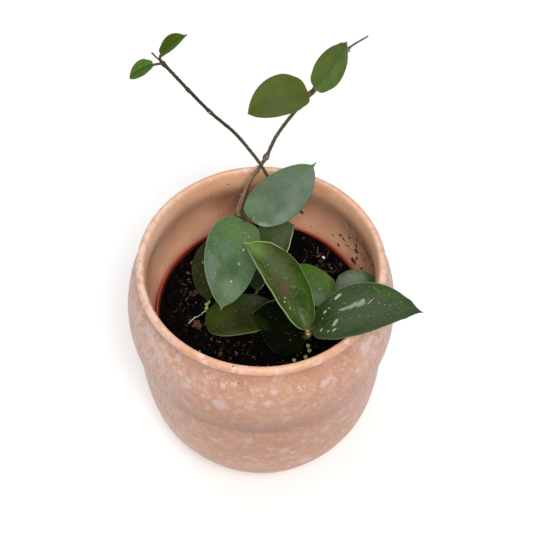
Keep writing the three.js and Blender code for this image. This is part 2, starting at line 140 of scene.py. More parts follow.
def paint(code):
    """A colour from its six-figure code, as the shader wants it."""
    parts = [int(code[i:i + 2], 16) / 255 for i in (0, 2, 4)]
    return [c / 12.92 if c <= 0.04045 else ((c + 0.055) / 1.055) ** 2.4 for c in parts] + [1]


def new_finish(name, roughness, **sockets):
    """A material and its node tree, ready for the nodes of one finish. The shader's sockets
    go by their own names, with _ for a space."""
    finish = bpy.data.materials.new(name)
    finish.use_nodes = True
    shader = finish.node_tree.nodes[SHADER]
    for socket, value in {"Roughness": roughness, **sockets}.items():
        shader.inputs[socket.replace("_", " ")].default_value = value
    return finish, finish.node_tree


def add(tree, kind, inputs=None, **settings):
    """One node. An input is a value, or another node's output to join to it."""
    made = tree.nodes.new("ShaderNode" + kind)
    for key, value in settings.items():
        setattr(made, key, value)
    for key, value in (inputs or {}).items():
        if isinstance(value, bpy.types.NodeSocket):
            tree.links.new(value, made.inputs[key])
        else:
            made.inputs[key].default_value = value
    return made


def on_piece(tree):
    """Where a point is on the plant, in metres."""
    return add(tree, "TexCoord").outputs["Object"]


def mark(tree, name, vector=False):
    """What a piece keeps at each of its points under this name."""
    return add(tree, "Attribute", attribute_name=name).outputs["Vector" if vector else "Fac"]


def cloud(tree, where, size, detail=3, rough=0.5, unit=MM):
    """A soft random pattern from 0 to 1, with patches of about this size in millimetres."""
    return add(tree, "TexNoise", {"Vector": where, "Scale": 1 / (size * unit), "Detail": detail,
                                  "Roughness": rough}).outputs["Fac"]


def between(tree, value, low, high, to_low=0.0, to_high=1.0):
    """The value's place between low and high, smoothly, as a number from to_low to to_high."""
    return add(tree, "MapRange", {"Value": value, "From Min": low, "From Max": high,
                                  "To Min": to_low, "To Max": to_high},
               interpolation_type="SMOOTHSTEP").outputs["Result"]


def reckon(tree, operation, first, *others):
    """Numbers or outputs worked out one after another, as in a sum or a product."""
    for other in others or (0.0,):
        first = add(tree, "Math", {0: first, 1: other}, operation=operation).outputs[0]
    return first


def stretched(tree, where, by):
    """The place multiplied in each direction, so that a pattern on it is drawn out."""
    return add(tree, "VectorMath", {0: where, 1: by}, operation="MULTIPLY").outputs[0]


def far_from(tree, where, place=(0, 0, 0)):
    """How far a point is from a place."""
    return add(tree, "VectorMath", {0: where, 1: place}, operation="DISTANCE").outputs["Value"]


def layer(tree, share, under, over):
    """One colour laid over another where share is 1. Each is a code or an output."""
    under, over = (paint(c) if isinstance(c, str) else c for c in (under, over))
    return add(tree, "Mix", {0: share, 6: under, 7: over}, data_type="RGBA").outputs[2]


def coat(tree, colour, roughness=None):
    """The finish's colour, and its roughness where that isn't the same all over."""
    tree.links.new(colour, tree.nodes[SHADER].inputs["Base Color"])
    if roughness is not None:
        tree.links.new(roughness, tree.nodes[SHADER].inputs["Roughness"])


def relief(tree, height, depth, below=None):
    """Bump of this depth in millimetres, on top of another one if below is given."""
    inputs = {"Height": height, "Distance": depth * MM, "Strength": 1.0}
    if below is not None:
        inputs["Normal"] = below
    bump = add(tree, "Bump", inputs).outputs["Normal"]
    tree.links.new(bump, tree.nodes[SHADER].inputs["Normal"])
    return bump


def specks(tree, where, spacing, least, most, share, unit=MM):
    """Small round spots, one at most in each cell of a random net. Their radii run from
    least to most, as parts of the spacing, and only this share of the cells has one."""
    net = add(tree, "TexVoronoi", {"Vector": where, "Scale": 1 / (spacing * unit)})
    parts = add(tree, "SeparateColor", {0: net.outputs["Color"]})
    radius = between(tree, parts.outputs[0], 0.0, 1.0, least, most)
    inside = reckon(tree, "LESS_THAN", net.outputs["Distance"], radius)
    chosen = reckon(tree, "LESS_THAN", parts.outputs[1], share)
    return reckon(tree, "MULTIPLY", inside, chosen)


pot_outside = [(0, 0)] + [(r, 0) for r in (20, 38, FOOT_RADIUS)]
pot_outside += list(curve_through([
    (FOOT_RADIUS + 3.5, 1.5), (52, 6), (57.5, 19), (61.3, 32), (62.8, 50), (62.4, 66),
    (62.1, 74), (61.2, 78.2), (WAIST[0] + 0.5, WAIST[1] - 0.7),
], 64))
pot_outside += [WAIST]
pot_outside += list(curve_through([
    (WAIST[0] + 0.8, WAIST[1] + 0.2), (62.5, 82), (64.2, 84.6), (65.1, 89.5), (65.5, 96),
    (64.8, 105), (62.8, 115), (60.2, 121.5), (58.1, 125.2), (57.6, 127),
], 76))
pot_lip = curve_through([
    (57.9, 128), (58.55, 129.2), (58.3, 130.8), (56.6, POT_HEIGHT), (55.3, 131.5),
    (54.65, 130.2),
], 26)
pot_inside = list(curve_through([
    (54.3, 127.8), (53.9, 124.8), (54.0, 121.5), (54.8, 117.5), (56.0, 112.5), (56.7, 107.5),
    (56.6, 102.5), (55.7, 97.5), (54.3, 93), (53.4, 88.5),
], 60))
pot_inside += list(curve_through([
    (53.3, 84), (54.2, 78), (56.6, 60), (55.4, 36), (51.5, 18), (44, 7.5), (40, POT_FLOOR),
], 30))
pot_inside += [(20, POT_FLOOR), (0, POT_FLOOR)]

pot_profile = [tuple(p) for p in [*pot_outside, *pot_lip, *pot_inside]]
pot_points, pot_faces = turned(pot_profile, POT_SEGMENTS)
pot_rows = [p for p in pot_profile if p[0] > AT_AXIS]
row_numbers = np.arange(len(pot_rows))
lip_start, lip_end = len(pot_outside) - 1, len(pot_outside) + len(pot_lip) - 1

# How much of the outer glaze, of its chalk and of the bare foot there is on each row: the
# outer glaze thins over the lip and gives way to the inner one.
glaze_share = np.interp(row_numbers, [lip_start, lip_start + 8, lip_end - 2], [1, 0.75, 0])
chalk_share = np.interp(row_numbers, [lip_end - 4, lip_end + 2], [1, 0])
foot_share = [1.0 if z < FOOT_BARE and i < lip_start else 0.0
              for i, (r, z) in enumerate(pot_rows)]

# Height and strength of the painted shade, a darker glaze colour laid in the crease, below
# the lip and at the foot, all round, and more strongly above the crease at the front.
SHADE_ALL_ROUND = ((0, 0.5), (2, 0.3), (7, 0), (76.6, 0), (78.6, 0.55), (79.4, 1), (80.5, 1), (82.6, 1),
          (83.6, 0.75), (85.5, 0.35), (90, 0), (121, 0), (124, 0.22), (126.4, 0.5), (128, 0.4),
          (129.4, 0))
SHADE_AT_FRONT = ((40, 0.2), (60, 0.42), (76, 0.5), (84, 1), (89.5, 0.95), (92, 0.85),
                  (96, 0.62), (100, 0.5), (105, 0.34), (113, 0.12), (120, 0))
round_shade_share, front_shade_share = ([np.interp(z, *zip(*curve)) if i < lip_start else 0.0
                            for i, (r, z) in enumerate(pot_rows)]
                           for curve in (SHADE_ALL_ROUND, SHADE_AT_FRONT))
facing = np.clip(-np.sin(np.arange(POT_SEGMENTS) * 2 * math.pi / POT_SEGMENTS), 0, 1) ** 2
shade_share = np.maximum(np.repeat(round_shade_share, POT_SEGMENTS), np.outer(front_shade_share, facing).ravel())
for k, (x, y, z) in enumerate(pot_points[:-2]):
    ripple = POT_RIPPLE * noise.noise(Vector((x, y, z * 1.6)) * RIPPLES_PER_MM)
    stretch = 1 + ripple / max(30, math.hypot(x, y))
    pot_points[k][:2] = x * stretch, y * stretch

glaze, tree = new_finish("peach_glaze", 0.5, Coat_Weight=0.08, Coat_Roughness=0.4)
here = on_piece(tree)
wobble = add(tree, "TexNoise", {"Vector": here, "Scale": 1 / (2.6 * MM), "Detail": 4.0,
                                "Roughness": 0.62})
bent = add(tree, "MixRGB", {0: 3.6 * MM, 1: here, 2: wobble.outputs["Color"]},
           blend_type="ADD").outputs[0]
streaks = cloud(tree, stretched(tree, here, (1.0, 1.0, 2.6)), 1.3, 3, 0.6)
flecks = cloud(tree, here, 0.9, 2, 0.5)
drift = cloud(tree, here, 14, 3, 0.6)


def patches(turn, spacing, size, share):
    """Soft-edged angular patches of chalky glaze, as a number from 0 to 1."""
    spun = add(tree, "Mapping", {0: bent, "Rotation": turn}).outputs[0]
    net = add(tree, "TexVoronoi", {"Vector": spun, "Scale": 1 / (spacing * MM)},
              distance="CHEBYCHEV")
    chance = add(tree, "SeparateColor", {0: net.outputs["Color"]}).outputs[0]
    reach = between(tree, chance, 1 - share, 1.0, 0.08, size)
    near = reckon(tree, "SUBTRACT", reach, net.outputs["Distance"])
    chosen = reckon(tree, "GREATER_THAN", chance, 1 - share)
    return reckon(tree, "MULTIPLY", between(tree, near, -0.05, 0.14), chosen)


outside = mark(tree, "outside")
clay = layer(tree, between(tree, drift, 0.3, 0.7), "b5886c", "ac7a5e")
clay = layer(tree, between(tree, streaks, 0.5, 0.66, 0.0, 0.6), clay, "cba48f")
clay = layer(tree, between(tree, flecks, 0.34, 0.46, 0.4, 0.0), clay, "9f6f54")
bloom = between(tree, cloud(tree, bent, 4.2, 4, 0.68), 0.48, 0.64, 0.0, 0.55)
clay = layer(tree, bloom, clay, "c8a495")
rose = layer(tree, between(tree, drift, 0.3, 0.7), "e0ad8b", "d9a07e")
rose = layer(tree, between(tree, streaks, 0.45, 0.75, 0.0, 0.3), rose, "e8bb9e")
clay = layer(tree, outside, rose, clay)

# The chalk lies in patches of three sizes, and runs down in streaks at the pot's sides, as
# seen from the front. The side streaks are partly chalk and partly painted light: fuller at
# the left, they leave the right side darker as painted shade.
white = reckon(tree, "MAXIMUM", patches((0.5, 0.3, 0.2), 13, 0.29, 0.75),
               patches((-0.4, 0.6, 0.9), 8, 0.33, 0.5),
               patches((0.9, -0.3, 0.4), 4.2, 0.38, 0.34),
               between(tree, cloud(tree, bent, 5, 3, 0.6), 0.61, 0.7))
# Painted light at the sides, fuller at the left, so the right side stays darker as painted
# shade.
side_light = reckon(tree, "SUBTRACT", add(tree, "SeparateXYZ", {0: here}).outputs[0], 6 * MM)
side_light = between(tree, reckon(tree, "ABSOLUTE", side_light), 26 * MM, 60 * MM)
runs = cloud(tree, stretched(tree, bent, (1.0, 1.0, 0.3)), 2.6, 3, 0.6)
runs = reckon(tree, "MULTIPLY", side_light, between(tree, runs, 0.4, 0.58, 0.0, 0.95))
white = reckon(tree, "MAXIMUM", white, runs)
white = reckon(tree, "MULTIPLY", white, between(tree, flecks, 0.3, 0.6, 0.75, 1.0))
chalk = layer(tree, outside, "e8cbbb", layer(tree, streaks, "cdb6b2", "bfa8a4"))
clay = layer(tree, reckon(tree, "MULTIPLY", white, 0.8, mark(tree, "chalk")), clay, chalk)
# Painted shade: the darker glaze colour in the crease, below the lip, at the foot and at the
# front.
clay = layer(tree, reckon(tree, "MULTIPLY", mark(tree, "painted_shade"), 0.75), clay, "7c4a35")
pit = specks(tree, here, 13, 0.02, 0.05, 0.5)
clay = layer(tree, reckon(tree, "MULTIPLY", pit, 0.7), clay, "4a342a")

# Soil has stained the inner wall at the right; at the back the wall is painted darker, as
# painted shade, and at the left paler, as painted light: middle, reach, strength, how ragged
# the edge is, and colour.
WALL_STAINS_SHADE_AND_LIGHT = (((50.5, 24.5, 107), 19, 0.75, 0.45, "8a5c45"),
               ((-15, 54.5, 108), 17, 0.6, 0.2, "7c4832"),
               ((-51, 19, 119), 23, 0.8, 0.15, "f4c8aa"))
inside = between(tree, outside, 0.0, 0.3, 1.0, 0.0)
# The right patch is a soil stain, the back one painted shade and the left one painted light.
for place, reach, strength, ragged, code in WALL_STAINS_SHADE_AND_LIGHT:
    away = far_from(tree, here, Vector(place) * MM)
    stain_and_light = between(tree, away, 4 * MM, reach * MM, strength, 0.0)
    edge = between(tree, cloud(tree, bent, 3.5, 4, 0.7), ragged, ragged + 0.25)
    clay = layer(tree, reckon(tree, "MULTIPLY", stain_and_light, edge, inside), clay, code)
clay = layer(tree, mark(tree, "foot"), clay, layer(tree, streaks, "d9c2ae", "c9ad96"))
coat(tree, clay, between(tree, white, 0.0, 1.0, 0.48, 0.62))
relief(tree, white, 0.03, relief(tree, cloud(tree, here, 0.7, 2), 0.02))


def round_the_pot(share):
    """A share for each row, given to every point of the row, and to the middle points."""
    return np.append(np.repeat(share, POT_SEGMENTS), [1, 0])


make_piece("cover_pot_glazed", pot_points, pot_faces, glaze, ["cover_pot"], {
    "outside": round_the_pot(glaze_share),
    "foot": round_the_pot(foot_share),
    "painted_shade": np.append(shade_share, [0, 0]),
    "chalk": round_the_pot(chalk_share),
})

# The nursery pot is thin brick-red plastic, moulded in one piece, with a turned-over rim
# and eight drainage holes in its floor. Only the rim shows between the soil and the
# ceramic, dull and dusty with soil.

GROW_BASE = POT_FLOOR + 0.3
GROW_HEIGHT = 86.5
GROW_TOP = GROW_BASE + GROW_HEIGHT
GROW_TOP_RADIUS = 52.5
GROW_BASE_RADIUS = 38
GROW_WALL = 1
GROW_SEGMENTS = 144
RIM_OUT = 1.6
RIM_DROP = 7
RIM_INSIDE = 51.25
DRAIN_HOLES = 8
DRAIN_RING = 26
DRAIN_RADIUS = 3
DRAIN_DEPTH = 8
grow_slope = (GROW_TOP_RADIUS - RIM_OUT - GROW_BASE_RADIUS) / GROW_HEIGHT


def grow_outer(z):
    return GROW_BASE_RADIUS + grow_slope * (z - GROW_BASE)


def grow_inner(z):
    return grow_outer(z) - GROW_WALL


rim_foot = GROW_TOP - RIM_DROP
grow_profile = [
    (0, GROW_BASE + 0.6), (20, GROW_BASE + 0.6), (33, GROW_BASE + 0.5), (34.5, GROW_BASE),
    (36.6, GROW_BASE), (37.6, GROW_BASE + 0.4), (38, GROW_BASE + 1.4),
]
for z in np.linspace(GROW_BASE + 6, rim_foot - 0.4, 14):
    grow_profile.append((grow_outer(z), z))
grow_profile += [
    (grow_outer(rim_foot) + 0.1, rim_foot), (52.0, rim_foot + 0.1), (52.2, rim_foot + 0.4),
    (52.35, GROW_TOP - 3), (52.5, GROW_TOP - 1.1), (52.42, GROW_TOP - 0.5),
    (52.15, GROW_TOP - 0.12), (51.8, GROW_TOP), (51.45, GROW_TOP - 0.1),
    (51.2, GROW_TOP - 0.45), (51.1, GROW_TOP - 1.1), (50.7, GROW_TOP - 2.6),
]
for z in np.linspace(GROW_TOP - 8, GROW_BASE + 4, 12):
    grow_profile.append((grow_inner(z), z))
grow_profile += [(36.4, GROW_BASE + 1.6), (35.5, GROW_BASE + 1.2), (20, GROW_BASE + 1.2),
                 (0, GROW_BASE + 1.2)]
grow_points, grow_faces = turned(grow_profile, GROW_SEGMENTS)

plastic, tree = new_finish("brick_red_plastic", 0.42)
here = on_piece(tree)
dust = between(tree, cloud(tree, here, 3.5, 5, 0.7), 0.5, 0.7)
red = layer(tree, cloud(tree, here, 14), "ae4835", "963828")
radius = far_from(tree, stretched(tree, here, (1.0, 1.0, 0.0)))
# Inside the rim the red is painted darker: painted shade on the pot's inner face.
inner = reckon(tree, "SUBTRACT", RIM_INSIDE * MM, radius)
red = layer(tree, between(tree, inner, -0.1 * MM, 0.15 * MM), red, "6a2219")
red = layer(tree, reckon(tree, "MULTIPLY", dust, 0.35), red, "4a2a20")
red = layer(tree, specks(tree, here, 2.6, 0.03, 0.16, 0.5), red, "2c1b15")
coat(tree, red, between(tree, dust, 0.0, 1.0, 0.38, 0.7))
relief(tree, cloud(tree, here, 0.5, 2), 0.015)

grow_pot = make_piece("growing_pot_moulded", grow_points, grow_faces, plastic,
                      ["growing_pot"])

# The drainage holes are cut with a drill that is taken away again.
drill = bmesh.new()
for k in range(DRAIN_HOLES):
    angle = k * 2 * math.pi / DRAIN_HOLES
    made = bmesh.ops.create_cone(drill, cap_ends=True, segments=24, radius1=DRAIN_RADIUS * MM,
                                 radius2=DRAIN_RADIUS * MM, depth=DRAIN_DEPTH * MM)
    bmesh.ops.translate(drill, verts=made["verts"], vec=(
        DRAIN_RING * math.cos(angle) * MM, DRAIN_RING * math.sin(angle) * MM, GROW_BASE * MM))
drill_mesh = bpy.data.meshes.new("drain_drill")
drill.to_mesh(drill_mesh)
drill.free()
drill_bits = bpy.data.objects.new("drain_drill", drill_mesh)
bpy.context.scene.collection.objects.link(drill_bits)
holes = grow_pot.modifiers.new("drain_holes", "BOOLEAN")
holes.operation = "DIFFERENCE"
holes.object = drill_bits
holes.solver = "EXACT"
bpy.context.view_layer.update()
drilled = bpy.data.meshes.new_from_object(
    grow_pot.evaluated_get(bpy.context.evaluated_depsgraph_get()))
grow_pot.modifiers.clear()
grow_pot.data = drilled
bpy.data.objects.remove(drill_bits)

# Near-black, damp peat mix that fills the growing pot to just under its rim, firmed
# lightly and highest at the wall. Its top is a crumb of clods, and the loose bits of the
# next sections lie on it.

SOIL_EDGE = 90.6
SOIL_DISH = 3
SOIL_LUMP = 0.7
SOIL_BANK = 1.5
SOIL_RADIUS = 50.4
SOIL_FOOT = 7.8
SOIL_WAVES = 9
SOIL_AROUND, SOIL_RINGS = 300, 96
PEAT_SEED = 11

# The same long waves as in the solid soil, from the same run of numbers.
number, drawn = PEAT_SEED, []
for _ in range(3 * SOIL_WAVES):
    number = (number * 1664525 + 1013904223) % 2 ** 32
    drawn.append(number / 2 ** 32)
waves = [((drawn[i] - 0.5) * 0.9, (drawn[i + 1] - 0.5) * 0.9, drawn[i + 2] * 2 * math.pi)
         for i in range(0, len(drawn), 3)]


def soil_top(x, y):
    """Height of the soil's smooth top."""
    edge = grow_inner(SOIL_EDGE)
    dish = SOIL_DISH * (1 - min(1, (x * x + y * y) / (edge * edge)))
    lumps = sum(math.sin(x * a + y * b + c) for a, b, c in waves)
    near_wall = (math.hypot(x, y) / SOIL_RADIUS) ** 4
    bank = SOIL_BANK * near_wall * max(0, (x * 0.7 + y * 0.7) / SOIL_RADIUS)
    return SOIL_EDGE - dish + SOIL_LUMP * lumps / 3 + bank


def crumb(x, y):
    """Height of the crumbs of the soil itself, above and below its smooth top."""
    clods = noise.fractal(Vector((x, y, 3.1)) * 0.33, 0.7, 2.1, 4)
    grains = noise.noise(Vector((x, y, 9.7)) * 1.3)
    return 0.55 * clods + 0.28 * grains


ring = [(math.cos(j * 2 * math.pi / SOIL_AROUND), math.sin(j * 2 * math.pi / SOIL_AROUND))
        for j in range(SOIL_AROUND)]
soil_points, soil_faces = [(0, 0, soil_top(0, 0))], []
for radius in np.linspace(0, SOIL_RADIUS, SOIL_RINGS + 1)[1:]:
    calm = min(1, (SOIL_RADIUS - radius) / 1.5 + 0.3)
    for x, y in ((radius * c, radius * s) for c, s in ring):
        soil_points.append((x, y, soil_top(x, y) + calm * crumb(x, y)))
side_rows = [(grow_inner(84) - 0.1, 84), (grow_inner(40) - 0.3, 40), (36, 9.2),
             (34.6, SOIL_FOOT)]
for radius, z in side_rows:
    soil_points += [(radius * c, radius * s, z) for c, s in ring]
soil_points.append((0, 0, SOIL_FOOT))
rows = SOIL_RINGS + len(side_rows)
for j in range(SOIL_AROUND):
    k = (j + 1) % SOIL_AROUND
    soil_faces.append((0, 1 + j, 1 + k))
    soil_faces.append((len(soil_points) - 1, 1 + (rows - 1) * SOIL_AROUND + k,
                       1 + (rows - 1) * SOIL_AROUND + j))
    for i in range(rows - 1):
        a, b = 1 + i * SOIL_AROUND, 1 + (i + 1) * SOIL_AROUND
        soil_faces.append((a + j, b + j, b + k, a + k))

peat, tree = new_finish("damp_peat", 0.95, Specular_IOR_Level=0.06)
here = on_piece(tree)
lump = cloud(tree, here, 2.4, 5, 0.7)
dark = layer(tree, between(tree, lump, 0.46, 0.72), "030202", "150c09")
dark = layer(tree, specks(tree, here, 1.3, 0.1, 0.28, 0.14), dark, "321d16")
dark = layer(tree, specks(tree, here, 1.7, 0.05, 0.11, 0.12), dark, "7d6650")
coat(tree, dark)
relief(tree, cloud(tree, here, 0.55, 4, 0.7), 0.5)
make_piece("potting_soil_crumbly", soil_points, soil_faces, peat, ["potting_soil"])

# Loose crumbs of the same peat lie all over its top, from dust to clods 2 mm across, with
# flat broken sides. Three larger, browner lumps lie by the seedling at the left.

CLODS = 2600


def rough_ball(level):
    """Points and faces of a ball of small triangles, to press into clods and chips."""
    ball = bmesh.new()
    bmesh.ops.create_icosphere(ball, subdivisions=level, radius=1)
    points = np.array([tuple(v.co) for v in ball.verts])
    faces = np.array([[v.index for v in f.verts] for f in ball.faces])
    ball.free()
    return points, faces


BALLS = {level: rough_ball(level) for level in (1, 2, 3)}


class Scatter:
    """Many small loose bits, gathered into one mesh. Each keeps a tone for its finish."""

    def __init__(self):
        self.points, self.faces, self.tones, self.count = [], [], [], 0

    def put(self, points, faces, tone, at=(0, 0, 0)):
        self.points.append(points + np.array(at))
        self.faces += [tuple(int(k) + self.count for k in f) for f in faces]
        self.tones += [tone] * len(points)
        self.count += len(points)

    def piece(self, name, finish, smooth=True, slot="soil", stands_for=()):
        make_piece(name, np.vstack(self.points), self.faces, finish, stands_for,
                   {"tone": self.tones}, smooth)


def turn(draw):
    """A random turn in space."""
    a, b, c = draw.uniform(0, 6.28), draw.gauss(0, 0.35), draw.gauss(0, 0.35)
    spin = np.array([[math.cos(a), -math.sin(a), 0], [math.sin(a), math.cos(a), 0], [0, 0, 1]])
    tip = np.array([[1, 0, 0], [0, math.cos(b), -math.sin(b)], [0, math.sin(b), math.cos(b)]])
    rock = np.array([[math.cos(c), 0, math.sin(c)], [0, 1, 0], [-math.sin(c), 0, math.cos(c)]])
    return spin @ tip @ rock


def clod(draw, size, level, boxy=1.0):
    """A crumb of soil, chip or grain with these half sizes."""
    points, faces = BALLS[level]
    points = np.sign(points) * np.abs(points) ** boxy
    rough = np.array([[draw.gauss(1, 0.16)] for _ in points])
    return (points * rough * np.array(size)) @ turn(draw).T, faces


def unit(v):
    return v / np.linalg.norm(v, axis=-1, keepdims=True)


def somewhere(draw, reach=SOIL_RADIUS - 1.2):
    radius, angle = reach * math.sqrt(draw.random()), draw.uniform(0, 2 * math.pi)
    return radius * math.cos(angle), radius * math.sin(angle)


def ground(x, y):
    return soil_top(x, y) + crumb(x, y)


draw = random.Random(5)
clods = Scatter()
for _ in range(CLODS):
    x, y = somewhere(draw)
    half = 0.28 + 0.75 * draw.random() ** 3
    size = (half * draw.uniform(0.8, 1.4), half, half * 0.75)
    made = clod(draw, size, 2 if half > 0.6 else 1)
    clods.put(*made, tone=draw.random(), at=(x, y, ground(x, y) + 0.25 * half))
for x, y, half in ((-32, -8.3, 2.0), (-30.6, -9.8, 1.3), (-33.4, -9.4, 1.0)):
    made = clod(draw, (half * 1.2, half, half * 0.8), 2)
    clods.put(*made, tone=0.93, at=(x, y, ground(x, y) + 0.4 * half))

loose, tree = new_finish("loose_peat", 0.92, Specular_IOR_Level=0.08)
here = on_piece(tree)
tone = mark(tree, "tone")
brown = layer(tree, between(tree, tone, 0.5, 0.95), "040302", "24140f")
brown = layer(tree, between(tree, tone, 0.9, 0.92), brown, "5c3829")
brown = layer(tree, between(tree, cloud(tree, here, 0.6), 0.45, 0.7, 0, 0.5), brown, "060403")
coat(tree, brown)
relief(tree, cloud(tree, here, 0.3, 3), 0.15)
clods.piece("soil_crumbs", loose, smooth=False)

# Bark chips are mixed into the soil to keep it airy: short, flat, fibrous splinters of
# shredded bark, many of them washed to the back right, and a few larger ones pressed in.

CHIPS, CHIPS_AT_RIGHT = 230, 60
CHIP_SQUARE = 0.62

chips = Scatter()
for k in range(CHIPS):
    x, y = somewhere(draw, 46)
    if k < CHIPS_AT_RIGHT:
        x, y = draw.gauss(33, 5.5), draw.gauss(27, 6.5)
    if math.hypot(x, y) > 48:
        continue
    long, wide = draw.uniform(0.8, 2.3), draw.uniform(0.2, 0.5)
    made = clod(draw, (long, wide, draw.uniform(0.2, 0.4)), 2, CHIP_SQUARE)
    chips.put(*made, tone=0.9 * draw.random(), at=(x, y, ground(x, y) + 0.35))
for x, y, long, wide, tone in ((-34.9, 28.4, 2.0, 1.0, 1.0), (-33.4, 8.7, 2.0, 0.9, 0.8),
                               (31.5, 22.8, 2.7, 0.8, 0.8), (29.6, 30.6, 1.5, 0.5, 1.0),
                               (-37.6, 22, 1.2, 0.5, 0.9), (-36.4, 16, 1.1, 0.5, 0.8)):
    made = clod(draw, (long, wide, 0.5), 2, CHIP_SQUARE)
    chips.put(*made, tone=tone, at=(x, y, ground(x, y) + 0.5))

bark, tree = new_finish("bark_chip", 0.85, Specular_IOR_Level=0.15)
here = on_piece(tree)
tone = mark(tree, "tone")
fibre = add(tree, "TexWave", {"Vector": here, "Scale": 420.0, "Distortion": 6.0,
                              "Detail": 2.0}).outputs["Fac"]
wood = layer(tree, between(tree, tone, 0.3, 0.9), "140b0a", "54382f")
wood = layer(tree, between(tree, tone, 0.86, 0.9), wood, "76573f")
wood = layer(tree, between(tree, fibre, 0.2, 0.9, 0, 0.5), wood, "180c09")
coat(tree, wood)
relief(tree, fibre, 0.12)
chips.piece("bark_chips", bark)

# Dry root fibres of the mix lie on it in short curls, most of them at the left, and one
# longer white root runs out from the seedling there.

FIBRES, FIBRES_SPREAD = 95, 60
FIBRE_POINTS = 7


def bent_line(points, steps):
    """Points of a line through the given ones, that turns gently at those close together."""
    points = [np.array(p, float) for p in points]
    ends = [2 * points[0] - points[1], *points, 2 * points[-1] - points[-2]]
    line = []
    last = len(points) - 1
    for k in range(steps + 1):
        place = last * k / steps
        i = min(int(place), last - 1)
        w = place - i
        p = ends[i:i + 4]
        gaps = [max(1e-4, float(np.linalg.norm(p[j + 1] - p[j])) ** 0.5) for j in range(3)]
        out = ((p[1] - p[0]) / gaps[0] - (p[2] - p[0]) / (gaps[0] + gaps[1])
               + (p[2] - p[1]) / gaps[1]) * gaps[1]
        into = ((p[2] - p[1]) / gaps[1] - (p[3] - p[1]) / (gaps[1] + gaps[2])
                + (p[3] - p[2]) / gaps[2]) * gaps[1]
        line.append(p[1] + out * w + (3 * p[2] - 3 * p[1] - 2 * out - into) * w ** 2
                    + (2 * p[1] - 2 * p[2] + out + into) * w ** 3)
    return np.array(line)


def even(line, step):
    """The same line with points this far apart."""
    run = np.append(0, np.cumsum(np.linalg.norm(np.diff(line, axis=0), axis=1)))
    at = np.linspace(0, run[-1], max(3, int(run[-1] / step) + 1))
    return np.stack([np.interp(at, run, line[:, i]) for i in range(3)], 1), at


def rod(line, radii, sides, knobs=0.0):
    """Points and faces of a round rod along a line, closed by a rounded end at each end,
    and for each point the number of its place on the line."""
    radii = np.broadcast_to(radii, len(line))
    forward = np.gradient(line, axis=0)
    forward /= np.linalg.norm(forward, axis=1)[:, None]
    side = np.cross(forward[0], (0.3, 0.9, 0.31))
    rings, marks = [], []
    spans = [(0, 0.35, -0.9), (0, 0.8, -0.5)]
    spans += [(i, 1.0, 0.0) for i in range(len(line))]
    spans += [(len(line) - 1, 0.8, 0.5), (len(line) - 1, 0.35, 0.9)]
    for i, share, past in spans:
        side = side - forward[i] * float(side @ forward[i])
        side /= np.linalg.norm(side)
        other = np.cross(forward[i], side)
        for j in range(sides):
            angle = j * 2 * math.pi / sides
            out = side * math.cos(angle) + other * math.sin(angle)
            place = line[i] + forward[i] * past * radii[i]
            swell = 1.0
            if knobs:
                swell += knobs * noise.noise(Vector(place * 0.8 + out * 1.5))
            rings.append(place + out * radii[i] * share * swell)
            marks.append(i)
    faces = hoops(len(spans), sides)
    faces.append(tuple(range(sides - 1, -1, -1)))
    faces.append(tuple((len(spans) - 1) * sides + j for j in range(sides)))
    return np.array(rings), faces, marks


def strand(draw, start, heading, length, thickness, lift):
    """A fibre that lies on the soil in a gentle curl."""
    curl = draw.uniform(-0.16, 0.16)
    points = []
    x, y = start
    spans = FIBRE_POINTS - 1
    for k in range(FIBRE_POINTS):
        points.append((x, y, ground(x, y) + 0.25 + lift * math.sin(math.pi * k / spans)))
        x += length / spans * math.cos(heading + curl * k)
        y += length / spans * math.sin(heading + curl * k)
    line, _ = even(bent_line(points, 24), 0.6)
    return rod(line, thickness, 6)[:2]


fibres = Scatter()
for k in range(FIBRES):
    start = somewhere(draw, 42)
    if k > FIBRES_SPREAD:
        start = draw.gauss(-35, 4), draw.gauss(14, 9)
    if math.hypot(*start) > 43:
        continue
    made = strand(draw, start, draw.uniform(0, 6.28), draw.uniform(1, 3),
                  draw.uniform(0.06, 0.13), draw.uniform(0.1, 0.4))
    fibres.put(*made, tone=0.8 * draw.random() ** 1.5)
for start, end, thickness in (((-27.4, -0.2), (-29.7, -2.6), 0.2),
                              ((-29.7, -2.6), (-32.8, -4.7), 0.1),
                              ((-32.8, -4.7), (-36, -8.5), 0.2)):
    high = max(ground(*start), ground(*end)) + 0.75
    line, _ = even(bent_line([(*start, high), (*end, high - 0.1)], 10), 0.5)
    fibres.put(*rod(line, thickness, 6)[:2], tone=1.0)

straw, tree = new_finish("root_fibre", 0.7)
here = on_piece(tree)
tone = mark(tree, "tone")
dry = layer(tree, between(tree, tone, 0.0, 0.8), "4d3a2b", "a08a6a")
dry = layer(tree, between(tree, tone, 0.9, 1.0), dry, "e4e0d6")
dry = layer(tree, between(tree, cloud(tree, here, 0.8), 0.4, 0.7, 0, 0.4), dry, "6b5a45")
coat(tree, dry)
relief(tree, cloud(tree, here, 0.25), 0.04)
fibres.piece("root_fibres", straw)

# Perlite, white grains of puffed volcanic glass, is in the mix too. A few grains show on
# top of the soil, the largest of them at the back right.

grains = Scatter()
for x, y, half in ((32.1, 29.8, 0.7), (-14, -37, 0.3), (6, 34, 0.35), (-38, 12, 0.3),
                   (28, 14, 0.3), (-22, 30, 0.3), (39, -20, 0.3), (-30, -24, 0.3),
                   (2, -12, 0.3), (14, 40, 0.3), (36, 24, 0.25), (-8, 20, 0.3),
                   (-33, 4, 0.25), (-36, -8, 0.25), (-20, -33, 0.22), (10, -38, 0.22)):
    made = clod(draw, (half * 1.6, half, half * 0.8), 2)
    grains.put(*made, tone=draw.random(), at=(x, y, ground(x, y) + 0.6 * half))

